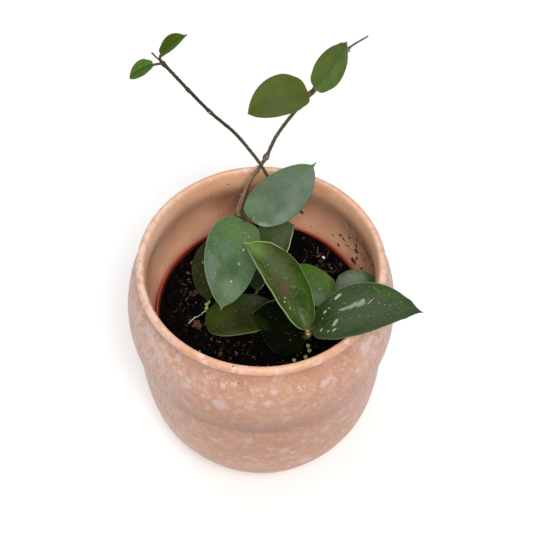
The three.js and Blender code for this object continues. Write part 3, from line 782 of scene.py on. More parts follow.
perlite, tree = new_finish("perlite_grain", 0.85)
here = on_piece(tree)
coat(tree, layer(tree, cloud(tree, here, 0.5), "efece6", "cfc8bd"))
relief(tree, cloud(tree, here, 0.3, 3), 0.2)
grains.piece("perlite_grains", perlite)

# Soil that was spilt while potting clings to the inside of the ceramic wall, most of it at
# the right: flat damp crumbs and short smears, brown where they are thin. A few specks are
# on the lip and on the front of the pot.

SMEARS, SMEARS_AT_RIGHT = 120, 90
SMEAR_DEPTH = 0.22

wall_radii, wall_heights = np.array(pot_inside)[::-1].T
# Place round the wall in degrees, height, half length, half width, and lean in degrees.
spills = [(68.0, 101.1, 1.5, 1.1, 20), (37.3, 115.7, 1.1, 0.8, 0), (43.4, 99.6, 1.2, 0.8, 40),
          (39.8, 98.6, 0.7, 0.5, 0), (37.5, 103.0, 0.9, 0.7, 70), (32.5, 107.5, 0.8, 0.7, 0),
          (25.2, 113.0, 0.9, 0.5, 10), (42.6, 93.5, 1.2, 0.9, 60), (38.3, 96.8, 0.7, 0.5, 0),
          (31.8, 102.9, 2.2, 0.8, 75), (30.5, 99.8, 1.5, 0.9, 50), (14.7, 120.9, 0.9, 0.6, 30),
          (24.2, 109.2, 1.6, 0.7, 60), (22.0, 108.7, 1.5, 0.8, 50), (20.1, 108.0, 1.7, 0.7, 40),
          (16.6, 111.7, 1.4, 0.5, 20), (12.8, 113.8, 1.1, 0.5, 80), (30.3, 93.4, 2.0, 1.4, 30),
          (28.1, 93.8, 1.6, 1.2, 0), (28.4, 96.4, 1.2, 0.9, 60), (15.4, 106.4, 1.0, 0.8, 0),
          (10.5, 111.0, 1.3, 0.8, 45), (22.0, 95.8, 0.8, 0.6, 0), (47.6, 96.4, 0.7, 0.6, 0),
          (107.8, 125.4, 1.0, 0.35, 5), (117.5, 118.6, 0.8, 0.5, 10),
          (110.5, 99.3, 0.7, 0.5, 0)]
for k in range(SMEARS):
    angle = draw.gauss(26, 11) if k < SMEARS_AT_RIGHT else draw.uniform(0, 360)
    height = 92 + abs(draw.gauss(0, 10))
    size = 0.18 + 0.42 * draw.random() ** 2
    if 6 < angle % 360 < 62 or k >= SMEARS_AT_RIGHT:
        spills.append((angle, min(height, 120), size * draw.uniform(1, 1.8), size,
                       draw.uniform(0, 180)))
spilt = Scatter()
for angle, height, long, wide, lean in spills:
    radius, above, below = np.interp([height, height + 1, height - 1], wall_heights, wall_radii)
    toward, lean = math.radians(angle), math.radians(lean)
    outward = np.array([math.cos(toward), math.sin(toward), 0])
    level = np.array([-math.sin(toward), math.cos(toward), 0])
    upright = unit(outward * (above - below) / 2 + (0, 0, 1))
    inward = -np.cross(level, upright)
    inward *= -np.sign(inward @ outward)
    first = level * math.cos(lean) + upright * math.sin(lean)
    second = upright * math.cos(lean) - level * math.sin(lean)
    ball, faces = BALLS[2]
    ragged = np.array([[draw.gauss(1, 0.2)] for _ in ball])
    share = 0.85 if long > 0.69 else 0.6
    shape = ball * ragged * (long * share, wide * share, min(wide, 1.2) * SMEAR_DEPTH)
    spilt.put(shape @ np.array([first, second, inward]), faces, draw.uniform(0.2, 0.95),
              outward * radius + (0, 0, height) + inward * 0.03)
for angle, height, radius, half in ((257.5, 131.9, 56.6, 0.42), (260.5, 123.7, 60.15, 0.3),
                                    (288.0, 106.6, 64.55, 0.35)):
    toward = math.radians(angle)
    spilt.put(*clod(draw, (half, half, half), 1), tone=0.3,
              at=(radius * math.cos(toward), radius * math.sin(toward), height))

smear, tree = new_finish("smeared_peat", 0.85, Specular_IOR_Level=0.15)
here = on_piece(tree)
damp = layer(tree, mark(tree, "tone"), "2b1811", "7d4f3a")
damp = layer(tree, between(tree, cloud(tree, here, 0.5), 0.45, 0.65, 0, 0.5), damp, "301b13")
coat(tree, damp)
relief(tree, cloud(tree, here, 0.3, 3), 0.1)
spilt.piece("spilt_soil_on_wall", smear, smooth=False)

# Two thin climbing vines and three short stems, woody and grey-brown low down and olive
# green higher up, rooted in the soil. Each is swollen with a ring scar at its nodes, where
# the leaves grow.

ROOT_DEPTH = 20
SOIL_LEVEL = SOIL_EDGE - SOIL_DISH
STEM_SIDES = 20

# Of each stem: its radius at shares of its length (girth), where it stands in the soil
# (root), its line above the soil (points), and its nodes, as the number of a point and the
# radius of the swelling.
STEMS = {
    "vine_right": dict(
        girth=[(0, 1.15), (0.4, 1.05), (0.52, 0.85), (0.86, 0.78), (0.93, 0.5), (1, 0.36)],
        root=(-10, 32),
        points=[(-10.2, 34, 98), (-11.2, 40, 116), (-9.2, 43, 123.3), (-5.8, 47, 132.8),
                (-0.2, 49.2, 142.6), (2.4, 49.8, 148.1), (7, 50.5, 161.9), (15.3, 50.5, 178.6),
                (22.2, 50, 191), (30, 52, 203), (37, 53, 214.4), (45, 55, 219.5)],
        nodes=[(1, 1.7), (2, 1.5), (6, 1.6), (9, 1.35), (11, 0.75)]),
    "vine_left": dict(
        girth=[(0, 0.9), (0.5, 0.8), (0.95, 0.74), (0.97, 0.38), (1, 0.32)], root=(11, 40),
        points=[(10.4, 43.5, 104), (7.2, 46, 126), (2.5, 46, 139.5), (-1.4, 46.4, 148.7),
                (-6, 47, 157), (-12.2, 47.6, 167.2), (-23.2, 48, 181), (-32.2, 48, 195),
                (-41.8, 48, 210.4), (-45.8, 48.6, 215.4)],
        nodes=[(7, 0.95), (8, 0.95), (9, 1.15)]),
    "stem_front": dict(
        girth=[(0, 1.4), (1, 1.4)], root=(21, -5),
        points=[(21, -7, 94.5), (22.6, -21, 110), (21.6, -30, 119.5), (21.2, -32.5, 121.8)],
        nodes=[(1, 1.9), (2, 1.9), (3, 2.1)]),
    "stem_right": dict(
        girth=[(0, 1.3), (1, 1.3)], root=(37.5, -6),
        points=[(37.5, -6, 90), (37.8, -5.4, 94.5)], nodes=[(2, 1.9)]),
    "stem_middle": dict(
        girth=[(0, 1.3), (1, 1.3)], root=(-8, 3), points=[(-8, 3.2, 88), (-7.6, 4, 92.5)],
        nodes=[(2, 1.8)]),
}


def stem_point(stem, number):
    return np.array(STEMS[stem]["points"][number - 1], float)


def stem_finish(name, low, high, change, mottled, spots):
    """Bark that turns from the low colour to the high one between two heights."""
    finish, tree = new_finish(name, 0.62, Specular_IOR_Level=0.3)
    here = on_piece(tree)
    height = add(tree, "SeparateXYZ", {0: here}).outputs[2]
    mottle = cloud(tree, here, 2.2, 4, 0.65)
    skin = layer(tree, between(tree, height, change[0] * MM, change[1] * MM), low, high)
    skin = layer(tree, between(tree, mottle, 0.45, 0.65, 0, 0.5), skin, mottled)
    skin = layer(tree, specks(tree, here, 1.2, 0.08, 0.24, spots), skin, "8d7a62")
    # Painted shade down one side of the old vine's foot.
    skin = layer(tree, mark(tree, "shaded_side"), skin, "453a1f")
    scarred = layer(tree, between(tree, mottle, 0.4, 0.6), "95888b", "4b4042")
    skin = layer(tree, mark(tree, "scar"), skin, scarred)
    coat(tree, skin, between(tree, mottle, 0.3, 0.7, 0.5, 0.78))
    relief(tree, cloud(tree, here, 0.5, 3, 0.6), 0.12)
    return finish


BARKS = {
    "vine_right": stem_finish("old_vine_bark", "86725c", "544e3c", (136, 150), "5c4f3d", 0.3),
    "vine_left": stem_finish("young_vine_bark", "57502f", "312c1d", (150, 175), "241f15", 0.1),
}
short_bark = stem_finish("short_stem_bark", "6a5a44", "5c5432", (95, 120), "3d3226", 0.3)

for name, stem in STEMS.items():
    x, y = stem["root"]
    raw = bent_line([(x, y, SOIL_LEVEL - ROOT_DEPTH), (x, y, SOIL_LEVEL - ROOT_DEPTH / 2),
                     (x, y, SOIL_LEVEL), *stem["points"]], 400)
    line, run = even(raw, 0.55)
    radii = np.interp(run / run[-1], *zip(*stem["girth"]))
    thin = radii.copy()
    scar = np.zeros(len(line))
    for number, swollen in stem["nodes"]:
        away = np.linalg.norm(line - stem_point(name, number), axis=1)
        swell = np.exp(-(away / (1.1 * swollen)) ** 2)
        radii = np.maximum(radii, thin + (swollen - thin) * swell)
        radii += 0.1 * np.exp(-((away - 1.25 * swollen) / 0.3) ** 2)
        scar = np.maximum(scar, swell * (1 if name == "vine_right" and number == 6 else 0.15))
    points, faces, stations = rod(line, radii, STEM_SIDES, 0.2)
    # Down the right side of the old vine's foot, below 142 mm, the bark is painted darker:
    # painted shade.
    shaded_side = np.zeros(len(points))
    if name == "vine_right":
        off = (points - line[stations])[:, 0] / radii[stations]
        low = np.clip((142 - points[:, 2]) / 3, 0, 1)
        shaded_side = np.clip((off - 0.25) / 0.15, 0, 1) * low
    make_piece(name + "_bark", points, faces, BARKS.get(name, short_bark), [name],
               {"scar": scar[stations], "shaded_side": shaded_side})

# Dry aerial roots, which the vines put out to hold on to bark: one long root up the foot
# of the old vine, and short thin hooks at the nodes of both.

# Foot and direction of the short ones on the old vine.
OLD_VINE_HOOKS = (((-8.9, 43.8, 126.4), (-1.9, -0.3, 0.9)),
                  ((-5.2, 46.9, 135.4), (-1.2, -0.3, 0.5)),
                  ((-0.9, 48.6, 142.4), (-1.8, -0.3, 0.6)),
                  ((7.4, 50, 163), (1.1, -0.5, 0.3)),
                  ((2.4, 48.6, 149.3), (1.3, -0.5, 1.2)),
                  ((2, 48.4, 147), (-1.2, -0.4, 0.8)))
aerial = Scatter()


def wisp(points, thickness):
    """A dry aerial root through the given points, thinner to its tip."""
    line, run = even(bent_line(points, 40), 0.5)
    aerial.put(*rod(line, thickness * (1 - 0.6 * run / run[-1]), 8, 0.25)[:2], tone=0.5)


vine = [stem_point("vine_right", k) for k in range(1, 13)]
wisp([vine[1] + (-1.3, -0.6, 2), vine[2] + (-1.35, -0.6, 0.5), vine[3] + (-1.2, -0.5, -2),
      vine[4] + (-0.8, -0.4, -2)], 0.42)
for foot, out in OLD_VINE_HOOKS:
    foot, out = np.array(foot), np.array(out)
    wisp([foot - out * 0.3, foot + out * 0.5 + (0, 0, 0.2), foot + out], 0.36)
for number, out in ((8, (-0.7, -0.6, 0.3)), (8, (0.8, -0.5, 0.2)), (9, (0.75, -0.5, -0.6))):
    foot, out = stem_point("vine_left", number), np.array(out)
    wisp([foot + out * 0.4, foot + out * 1.1, foot + out * 1.7 + (0, 0, 0.2)], 0.26)

dry_root, tree = new_finish("dry_aerial_root", 0.8)
here = on_piece(tree)
husk = between(tree, cloud(tree, here, 1.1, 3), 0.35, 0.65)
coat(tree, layer(tree, husk, "6a5a4c", "9c8976"))
relief(tree, cloud(tree, here, 0.35, 2), 0.08)
aerial.piece("aerial_roots", dry_root, slot="vine_bark")

# Buds: the green tip bud of the young vine, closed side buds at nodes, and on the front
# stem a knot of pale corky callus, where an older shoot was cut off.

CALLUS = ((0, -0.9, 0.4, 1.15), (1.0, -0.5, -0.3, 0.8), (-0.9, -0.6, -0.4, 0.85),
          (0.3, -1.4, -0.8, 0.75), (-0.3, 0.2, 1.1, 0.9), (0.8, 0.3, 0.8, 0.6))
CALLUS_SIZE, CALLUS_SPREAD = 0.8, 0.85

buds = Scatter()
draw = random.Random(8)
tip = stem_point("vine_left", 10)
heading = unit(tip - stem_point("vine_left", 9))
for k in range(5):
    around = np.array((0.14 * math.cos(k * 2.4), 0.14 * math.sin(k * 2.4), 0))
    buds.put(*clod(draw, (0.3, 0.3, 0.62), 2), tone=0.1,
             at=tip + heading * (0.25 * k - 0.6) + around)
for stem, number, shift, size, tone in (
        ("vine_left", 7, (-0.3, -0.7, 0.3), (0.6, 0.42, 0.6), 0.9),
        ("vine_left", 8, (0.5, -0.4, 0), (0.4, 0.28, 0.4), 0.9),
        ("vine_right", 11, (0.6, -0.5, -0.9), (0.5, 0.4, 0.8), 1.0),
        ("vine_right", 11, (-0.3, -0.6, -1.2), (0.4, 0.4, 0.7), 1.0)):
    buds.put(*clod(draw, size, 2), tone=tone, at=stem_point(stem, number) + shift)
for *shift, half in CALLUS:
    half *= CALLUS_SIZE
    buds.put(*clod(draw, (half, half, half * 0.9), 2), tone=0.9,
             at=stem_point("stem_front", 4) + np.array(shift) * CALLUS_SPREAD)

bud_skin, tree = new_finish("bud_scale", 0.6)
here = on_piece(tree)
scale = layer(tree, between(tree, mark(tree, "tone"), 0.4, 0.8), "4d4330", "b08f74")
browned = between(tree, cloud(tree, here, 0.9, 3), 0.42, 0.68, 0, 0.7)
coat(tree, layer(tree, browned, scale, "6b4b3a"))
relief(tree, cloud(tree, here, 0.4, 3), 0.15)
buds.piece("buds_and_callus", bud_skin, slot="vine_bark")

# Thick waxy blades in pairs: rounded or heart-shaped at the base, drawn out to a point,
# with a sunken midrib, a fine pale edge and a short round stalk that grows from a node.
# The older ones are flecked and splashed with silver, and each underside is paler.

# Thickness, rows of points and stalk's radius of a grown and of a new leaf, how deep the
# midrib is sunk, and where the blade has points from its midrib (0) to its edge (1).
GROWN_LEAF, NEW_LEAF = (1.1, 84, 0.95), (0.8, 40, 0.55)
GROOVE, GROOVE_WITH_RIB = 0.07, 0.2
ACROSS = [0, 0.03, 0.06, 0.1, 0.15, 0.22, 0.3, 0.39, 0.48, 0.57, 0.66, 0.75, 0.83, 0.89, 0.935,
          0.965, 0.985, 0.996, 1]
RUN_STEPS = 800
FAR_FROM_EDGE = 9.0
STALK_BURIED = 0.07
NIB, WEDGE, LOBE, HOOK = 0.34, 0.56, 0.8, 0.45
SILVER = "a8b8a0"

# The form of each leaf, in millimetres and degrees. Its stalk grows from a node of a stem,
# moved by side, and meets the blade at base. There the blade has a heading, pitch and roll,
# and on its way to the tip it arches, bends and twists by so much. channel is how far it is
# folded up along the midrib. widest and point are shares of the length: where it is widest,
# and what is drawn out into a tip, which starts as wide as nib. A larger blunt gives fuller
# shoulders, lobe a base drawn back beside the stalk, wedge a pointed base, and left a wider
# left half. hook is how sharply the stalk turns into the blade. small marks a new leaf.
LEAVES = {
    "leaf_back_right": dict(
        stem="vine_right", node=2, side=(1.3, -0.2, 1.5), base=(-5.6, 32.3, 121.6), length=43.6,
        width=25.2, heading=14, pitch=39, roll=66, arch=21, channel=18, bend=1, twist=-6,
        widest=0.38, blunt=1.35, point=0.057, hook=0.12),
    "leaf_centre_left": dict(
        stem="vine_right", node=2, side=(-1, -0.4, -0.8), base=(-8.6, 35.2, 116.5), length=56.5,
        width=27.7, heading=-108, pitch=12, roll=-16, arch=10, channel=20, bend=19, twist=-14,
        widest=0.37, blunt=1.4, point=0.034, lobe=2.2),
    "leaf_centre": dict(
        stem="stem_front", node=3, base=(20.2, -30.7, 121.9), length=57.6, width=25.5,
        heading=114, pitch=28, roll=-2, arch=53, channel=86, bend=15, twist=4, widest=0.41,
        blunt=0.75, point=0.04),
    "leaf_over_rim": dict(
        stem="stem_front", node=3, base=(22.8, -30.4, 121.9), length=54.1, width=29.9,
        heading=11, pitch=39, roll=-15, arch=31, channel=17, bend=-25, twist=6, widest=0.43,
        blunt=0.5, point=0.039),
    "leaf_back_low": dict(
        stem="stem_middle", node=2, base=(-2.4, 9.4, 92.9), length=39.5, width=24, heading=67,
        pitch=29, roll=-49, arch=1, channel=17, bend=-40, twist=6, widest=0.66, blunt=0.75,
        point=0.026, left=1.6),
    "leaf_right_low": dict(
        stem="stem_right", node=2, side=(-1, 0, 0), base=(35.2, 0.3, 95.4), length=32,
        width=18.7, heading=133, pitch=5, roll=-5, arch=17, channel=15, widest=0.3, blunt=1.75,
        point=0.04),
    "leaf_right_far": dict(
        stem="stem_right", node=2, side=(1, 0, 0.5), base=(39.1, -1.1, 99.3), length=23.5,
        width=21, heading=7, pitch=53, roll=27.5, arch=7, channel=20, bend=-1, widest=0.36,
        blunt=1, point=0.002, nib=0.05),
    "leaf_front_left_low": dict(
        stem="stem_front", node=1, base=(8.2, -5.8, 95.8), length=38.2, width=21.4, heading=187,
        pitch=11, roll=-5, arch=38, channel=20, bend=1, twist=-7, widest=0.45, blunt=2,
        point=0.034),
    "leaf_front_low": dict(
        stem="stem_front", node=2, base=(20.2, -28.4, 110.7), length=32.4, width=29,
        heading=150, pitch=-12, roll=-60, arch=17, channel=4, widest=0.37, blunt=0.25,
        point=0.01, nib=0.08),
    "leaf_left_low": dict(
        stem="vine_right", node=1, base=(-19, 39.6, 98.6), length=38.8, width=26, heading=-109,
        pitch=-3, roll=27, arch=17, channel=17, bend=6, widest=0.38, blunt=1, point=0.036),
    "leaf_vine_lower": dict(
        stem="vine_right", node=9, side=(-1.3, -0.5, -0.5), base=(20.5, 46, 195.2), length=29.6,
        width=22.9, heading=-167, pitch=13, roll=0, arch=59, channel=17, bend=-4, twist=-9,
        widest=0.35, blunt=0.7, point=0.006, nib=0.05, hook=0.1),
    "leaf_vine_upper": dict(
        stem="vine_right", node=9, side=(1.2, 0.6, 0.9), base=(23, 46.3, 197.8), length=27.3,
        width=14.9, heading=23, pitch=45, roll=13, arch=-33, channel=8, twist=9, widest=0.37,
        blunt=0.75, point=0.035, hook=0.1),
    "leaf_tip_upper": dict(
        stem="vine_left", node=9, base=(-42.8, 49.4, 214.5), length=14.8, width=8.6, heading=20,
        pitch=50, roll=-3, arch=33, channel=25, bend=-5, twist=9, widest=0.48, blunt=0.5,
        point=0.066, small=True),
    "leaf_tip_lower": dict(
        stem="vine_left", node=9, base=(-46.1, 46.2, 211.8), length=12.4, width=9.6,
        heading=-174, pitch=-15, roll=1, arch=30, channel=20, bend=10, twist=-9, widest=0.4,
        blunt=1, point=0.025, small=True, wedge=0.85),
}

# Each leaf's look: top colours from deep to light, edge and how much of it shows at the
# left and the right of the blade, seen from its base (sides), roughness, gloss, how many of
# the fleck cells are filled, and how strong the fine lengthwise grain is. Tints are soft
# areas of another colour, some the leaf's own and some painted sheen and painted shade, and
# splashes are silver spots: place along and across the blade, half length, half width, turn
# and colour, in millimetres and degrees, and a tint's strength. rib and tip tint the midrib
# and the tip, and far_rim gives where along the blade its edge starts to show on both sides,
# and how strongly.
LOOKS = {
    "leaf_back_right": dict(
        deep="586b58", light="64755f", edge="46621e", sides=(0.5, 0.5), rough=0.4, flecks=0.1,
        tip="3f7a1c", grain=0.4,
        # The pale tints along the lower edge (768879, 93a290) are painted sheen.
        tints_and_painted_light=[(6, 5.5, 10, 7, 0, "6e8e64", 0.6), (24.5, -4, 7, 4, 20, "6c736f", 0.4),
                (13, -9.5, 13, 3.2, 8, "768879", 0.65), (3.8, -7, 4, 1.8, -50, "93a290", 0.7),
                (37, 3, 6, 5, 0, "54703e", 0.5)],
        splashes=[(1.9, -0.6, 0.8, 0.5, 20, "a9907a"), (3.8, 3.1, 1.5, 0.2, 60, "8aa07c")]),
    "leaf_centre_left": dict(
        deep="4a6140", light="546f4a", edge="6f8c62", sides=(0.2, 0.5), rough=0.4, flecks=0.4,
        grain=0.65,
        # The bluish-grey tints (67796d, 66795f, 5a705c) are painted sheen.
        tints_and_painted_light=[(8, 0, 15, 14, 0, "56703c", 0.75), (38, -8, 13, 4.5, 5, "67796d", 0.75),
                (44, 3, 8, 7, 0, "66795f", 0.8), (31, 3, 8, 4.5, 0, "3b5434", 0.75),
                (21, -3, 6, 6, 0, "5a705c", 0.5), (55, 0, 4, 4, 0, "5c7650", 0.7)],
        splashes=[(18.7, 5.2, 1.0, 0.55, 0, "c3cfba"), (27.9, 5.1, 0.9, 0.5, 0, "a3b39b"),
                  (39.6, 3.1, 0.65, 0.45, 0, "c3cfba"), (41.7, -6.1, 0.4, 0.3, 0, "a8b6a4"),
                  (29.3, -11.5, 0.4, 0.3, 0, "b5c2b0"), (9.2, 5.4, 0.38, 0.3, 0, "b5c2b0"),
                  (7.8, 1.6, 0.36, 0.25, 0, "a8b89c"), (7.4, 3.1, 0.35, 0.25, 0, "a8b89c"),
                  (23.7, -9.7, 0.6, 0.4, 0, "84967f"), (38.5, -5.3, 0.7, 0.5, 0, "84967f")]),
    "leaf_centre": dict(
        deep="34461a", light="435520", edge="aabb82", sides=(0.9, 0.05), rough=0.38, flecks=0.9,
        grain=0.35, gloss=0.13, far_rim=(33, 0.85),
        tints_and_painted_light=[(50, 0, 10, 8, 0, "5e7d36", 0.9), (42, -4, 6, 4.5, 0, "505a34", 0.6),
                (33, -3, 8, 6, 0, "4f5236", 0.75), (22, 1, 7, 4, 0, "524032", 0.8),
                (17, -8.5, 9, 3.2, 0, "35540e", 0.8), (13, -2.5, 7, 4, 0, "25380a", 0.85),
                (36, 6.3, 12, 1.6, 0, "6c7052", 0.75)],
        splashes=[(16.9, 2.8, 0.7, 0.4, 30, "a2b18a"), (15.1, 4.2, 0.6, 0.45, 10, "bac7a2"),
                  (11.5, 3.0, 0.8, 0.3, 0, "b0bf98"), (19.8, -3.8, 0.8, 0.3, 0, "94806f"),
                  (36.4, 0.5, 0.6, 0.3, 0, "869474"), (38.9, 1.5, 0.5, 0.25, 0, "869474")]),
    "leaf_over_rim": dict(
        deep="2a3a18", light="334321", edge="84996a", sides=(0.6, 0.15), rough=0.4, flecks=1.0,
        grain=0.2, gloss=0.15,
        tints_and_painted_light=[(25, 0, 20, 12, 0, "3f4b30", 0.75), (36, 8, 7, 3, -15, "355822", 0.6),
                (7, 1, 8, 9, 0, "1f300a", 0.7)],
        splashes=[(16.8, 3.3, 2.1, 0.8, -10, "879b87"), (20.3, 3.5, 3.2, 1.0, 5, "82967f"),
                  (22.5, 4.6, 1.6, 1.0, 30, "869a84"), (25.2, 4.1, 2.6, 1.7, 10, "82967f"),
                  (26.3, 5.4, 1.2, 1.1, 60, "869a84"), (15.0, 10.8, 2.0, 0.8, 30, "b0c0a6"),
                  (13.8, 9.9, 0.8, 0.6, 0, "9fb194"), (13.2, -3.0, 2.4, 1.15, 60, "9fb194"),
                  (12.3, -4.0, 1.1, 0.9, 0, "8fa388"), (8.1, 5.3, 1.0, 0.6, 30, "b5c2a6"),
                  (12.8, -7.4, 1.4, 0.9, 20, "9fb194"), (9.5, -6.9, 0.9, 0.6, 40, "9fb194"),
                  (5.7, -4.1, 1.2, 0.65, 70, "9fb194"), (29.8, 4.6, 1.9, 0.3, 50, "97a98e"),
                  (10.3, 6.4, 0.5, 0.4, 0, "9fb194"), (6.6, 2.4, 0.5, 0.4, 0, "9fb194"),
                  (33.8, 3.2, 0.55, 0.3, 0, "778b73"), (38.9, 1.8, 0.3, 0.45, 0, "778b73"),
                  (29.8, -3.5, 0.7, 0.4, 10, "5f7157"), (28.1, -9.0, 0.6, 0.3, 0, "5f7557")]),
    "leaf_back_low": dict(
        deep="425631", light="52643e", edge="b4c2a2", sides=(0.05, 0.9), rough=0.42, flecks=0.2,
        grain=0.8,
        # The dark tint at the base (2a381c) is painted shade.
        tints_and_painted_light=[(31, 0, 10, 4.5, 0, "5a6a4c", 0.6), (4, 2, 9, 10, 0, "2a381c", 0.8)],
        splashes=[(25.9, 4.8, 7, 0.14, 0, "6f8060")]),
    "leaf_right_low": dict(
        deep="3d5d20", light="4a6a2a", edge="7f9a60", sides=(0.2, 0.2), rough=0.42, flecks=0.4,
        grain=0.3,
        # The pale tint at the base end (6a7c68) is a painted reflection.
        tints_and_painted_light=[(26, -3, 9, 7, 0, "40640e", 0.75), (5.5, 4, 7, 5, 0, "6a7c68", 0.8),
                (14, -2, 6, 4, 0, "46642e", 0.5)],
        splashes=[(9.8, -0.9, 0.5, 0.35, 0, "a9ba9c")]),
    "leaf_right_far": dict(
        deep="35491c", light="43582a", edge="2c4616", sides=(0.8, 0.8), rough=0.36, flecks=0.05,
        grain=0.4,
        # The grey tint (7e8b7c) is painted sheen, and the dark far end (3b5024) is painted
        # shade.
        tints_and_painted_light=[(10, 3, 13, 8, 0, "7e8b7c", 0.95), (23, -2, 5, 12, 0, "3b5024", 0.85)]),
    "leaf_front_left_low": dict(
        deep="20280a", light="29310b", edge="7c8e5c", sides=(0.5, 0.05), rough=0.42, flecks=0.2,
        grain=0.3, gloss=0.08,
        # The brownish tint (2c2416) is painted sheen.
        tints_and_painted_light=[(13, 0, 10, 6, 0, "2c2416", 0.4), (31, -2, 11, 8, 0, "36420a", 0.75),
                (22, 9.5, 12, 2.5, 0, "3a460c", 0.6)]),
    "leaf_front_low": dict(
        # Its near-black colours are painted shade, as it lies under the leaves above, and its
        # pale edge beyond 12 mm is painted light.
        deep="040a02", light="081204", edge="7d8f48", sides=(0, 0), rough=0.5, flecks=0.2,
        grain=0.3, gloss=0.06, far_rim=(12, 0.75), tints_and_painted_light=[(27, 3, 8, 4, 0, "1c3008", 0.7)]),
    "leaf_left_low": dict(
        deep="222f12", light="2c3a1b", edge="3f4e2a", sides=(0.2, 0.2), rough=0.5, flecks=0.5,
        grain=0.3, splashes=[(11, -4, 0.6, 0.5, 0, "8a6f55"), (17, -7, 1.1, 0.6, 20, "c0a188"),
                             (20, -3, 0.5, 0.4, 0, "8a6f55"), (24, -6, 0.9, 0.5, 60, "7c5f48"),
                             (28, -4, 0.6, 0.6, 0, "6d5140"), (14, 2, 0.5, 0.4, 0, "8a6f55")]),
    "leaf_vine_lower": dict(
        deep="404a0e", light="475413", edge="455420", sides=(0.5, 0.5), rough=0.5, flecks=0.0,
        grain=0.15, tints_and_painted_light=[(14, 3, 9, 5, 0, "3d4c18", 0.6), (20, -5, 8, 4, 0, "4d5826", 0.5)]),
    "leaf_vine_upper": dict(
        deep="425618", light="4e622a", edge="46581c", sides=(0.5, 0.5), rough=0.5, flecks=0.0,
        # Its darker midrib (35531e) is painted shade along the sunken rib.
        grain=0.15, rib=("35531e", 0.5),
        tints_and_painted_light=[(10, 4, 12, 3, 0, "525e22", 0.6), (15, -3, 8, 3, 0, "54703a", 0.5)]),
    "leaf_tip_upper": dict(
        deep="354903", light="425607", edge="3a5a1c", sides=(0.5, 0.5), rough=0.46, flecks=0.0,
        grain=0.15, gloss=0.08, rib=("203804", 0.4)),
    "leaf_tip_lower": dict(
        deep="3b5310", light="4a6623", edge="42662a", sides=(0.5, 0.5), rough=0.46, flecks=0.0,
        grain=0.15, gloss=0.1, rib=("23440f", 0.8)),
}


def leaf_axes(leaf):
    """The directions along, across and out of a blade at its base."""
    heading, pitch, roll = np.radians([leaf["heading"], leaf["pitch"], leaf["roll"]])
    along = np.array([math.cos(heading) * math.cos(pitch), math.sin(heading) * math.cos(pitch),
                      math.sin(pitch)])
    level = np.array([-math.sin(heading), math.cos(heading), 0])
    across = level * math.cos(roll) + np.cross(along, level) * math.sin(roll)
    return along, across, np.cross(along, across)


def leaf_outline(t, widest, blunt, point, nib, wedge):
    """Half width as a share of the greatest, from the base at 0 to the tip at 1. The last
    share, called point, is drawn out into a fine tip, which starts this wide: nib. The
    base is round, or the more pointed the larger wedge is."""
    s = np.minimum(1, t / (1 - point))
    low = np.clip(1 - (1 - s / widest) ** 2, 0, None) ** wedge
    far = np.clip((s - widest) / (1 - widest), 0, 1)
    high = np.clip(1 - far ** (1.9 + 0.4 * blunt), 0, None) ** (1.2 - 0.35 * blunt)
    tail = nib * np.clip((1 - t) / (3.2 * point), 0, 1) ** 1.4
    return np.where(s < widest, low, (high ** 8 + tail ** 8) ** 0.125)


def leaf_stalk(leaf, radius, thick):
    """A leaf's round stalk, from its node into the underside of the blade. Returns points,
    faces, and how far along the stalk each point is, up to 0 at its end in the blade."""
    along, across, up = leaf_axes(leaf)
    start = stem_point(leaf["stem"], leaf["node"]) + np.array(leaf.get("side", (0, 0, 0)))
    base = np.array(leaf["base"]) - up * thick / 2
    buried = leaf["length"] * STALK_BURIED
    bend_at = base - along * leaf.get("hook", HOOK) * np.linalg.norm(base - start)
    line, gone = even(bent_line([start, start + (bend_at - start) * 0.6,
                                 bend_at + (base - bend_at) * 0.6, base,
                                 base + along * buried - up * 0.55], 60), 0.35)
    swell = 1 + 0.22 * np.exp(-(gone / 1.2) ** 2)
    taper = np.clip((gone[-1] - gone) / buried, 0, 1) ** 0.5
    points, faces, stations = rod(line, radius * swell * (0.25 + 0.75 * taper), 14, 0.08)
    return points, faces, [gone[i] - gone[-1] for i in stations]


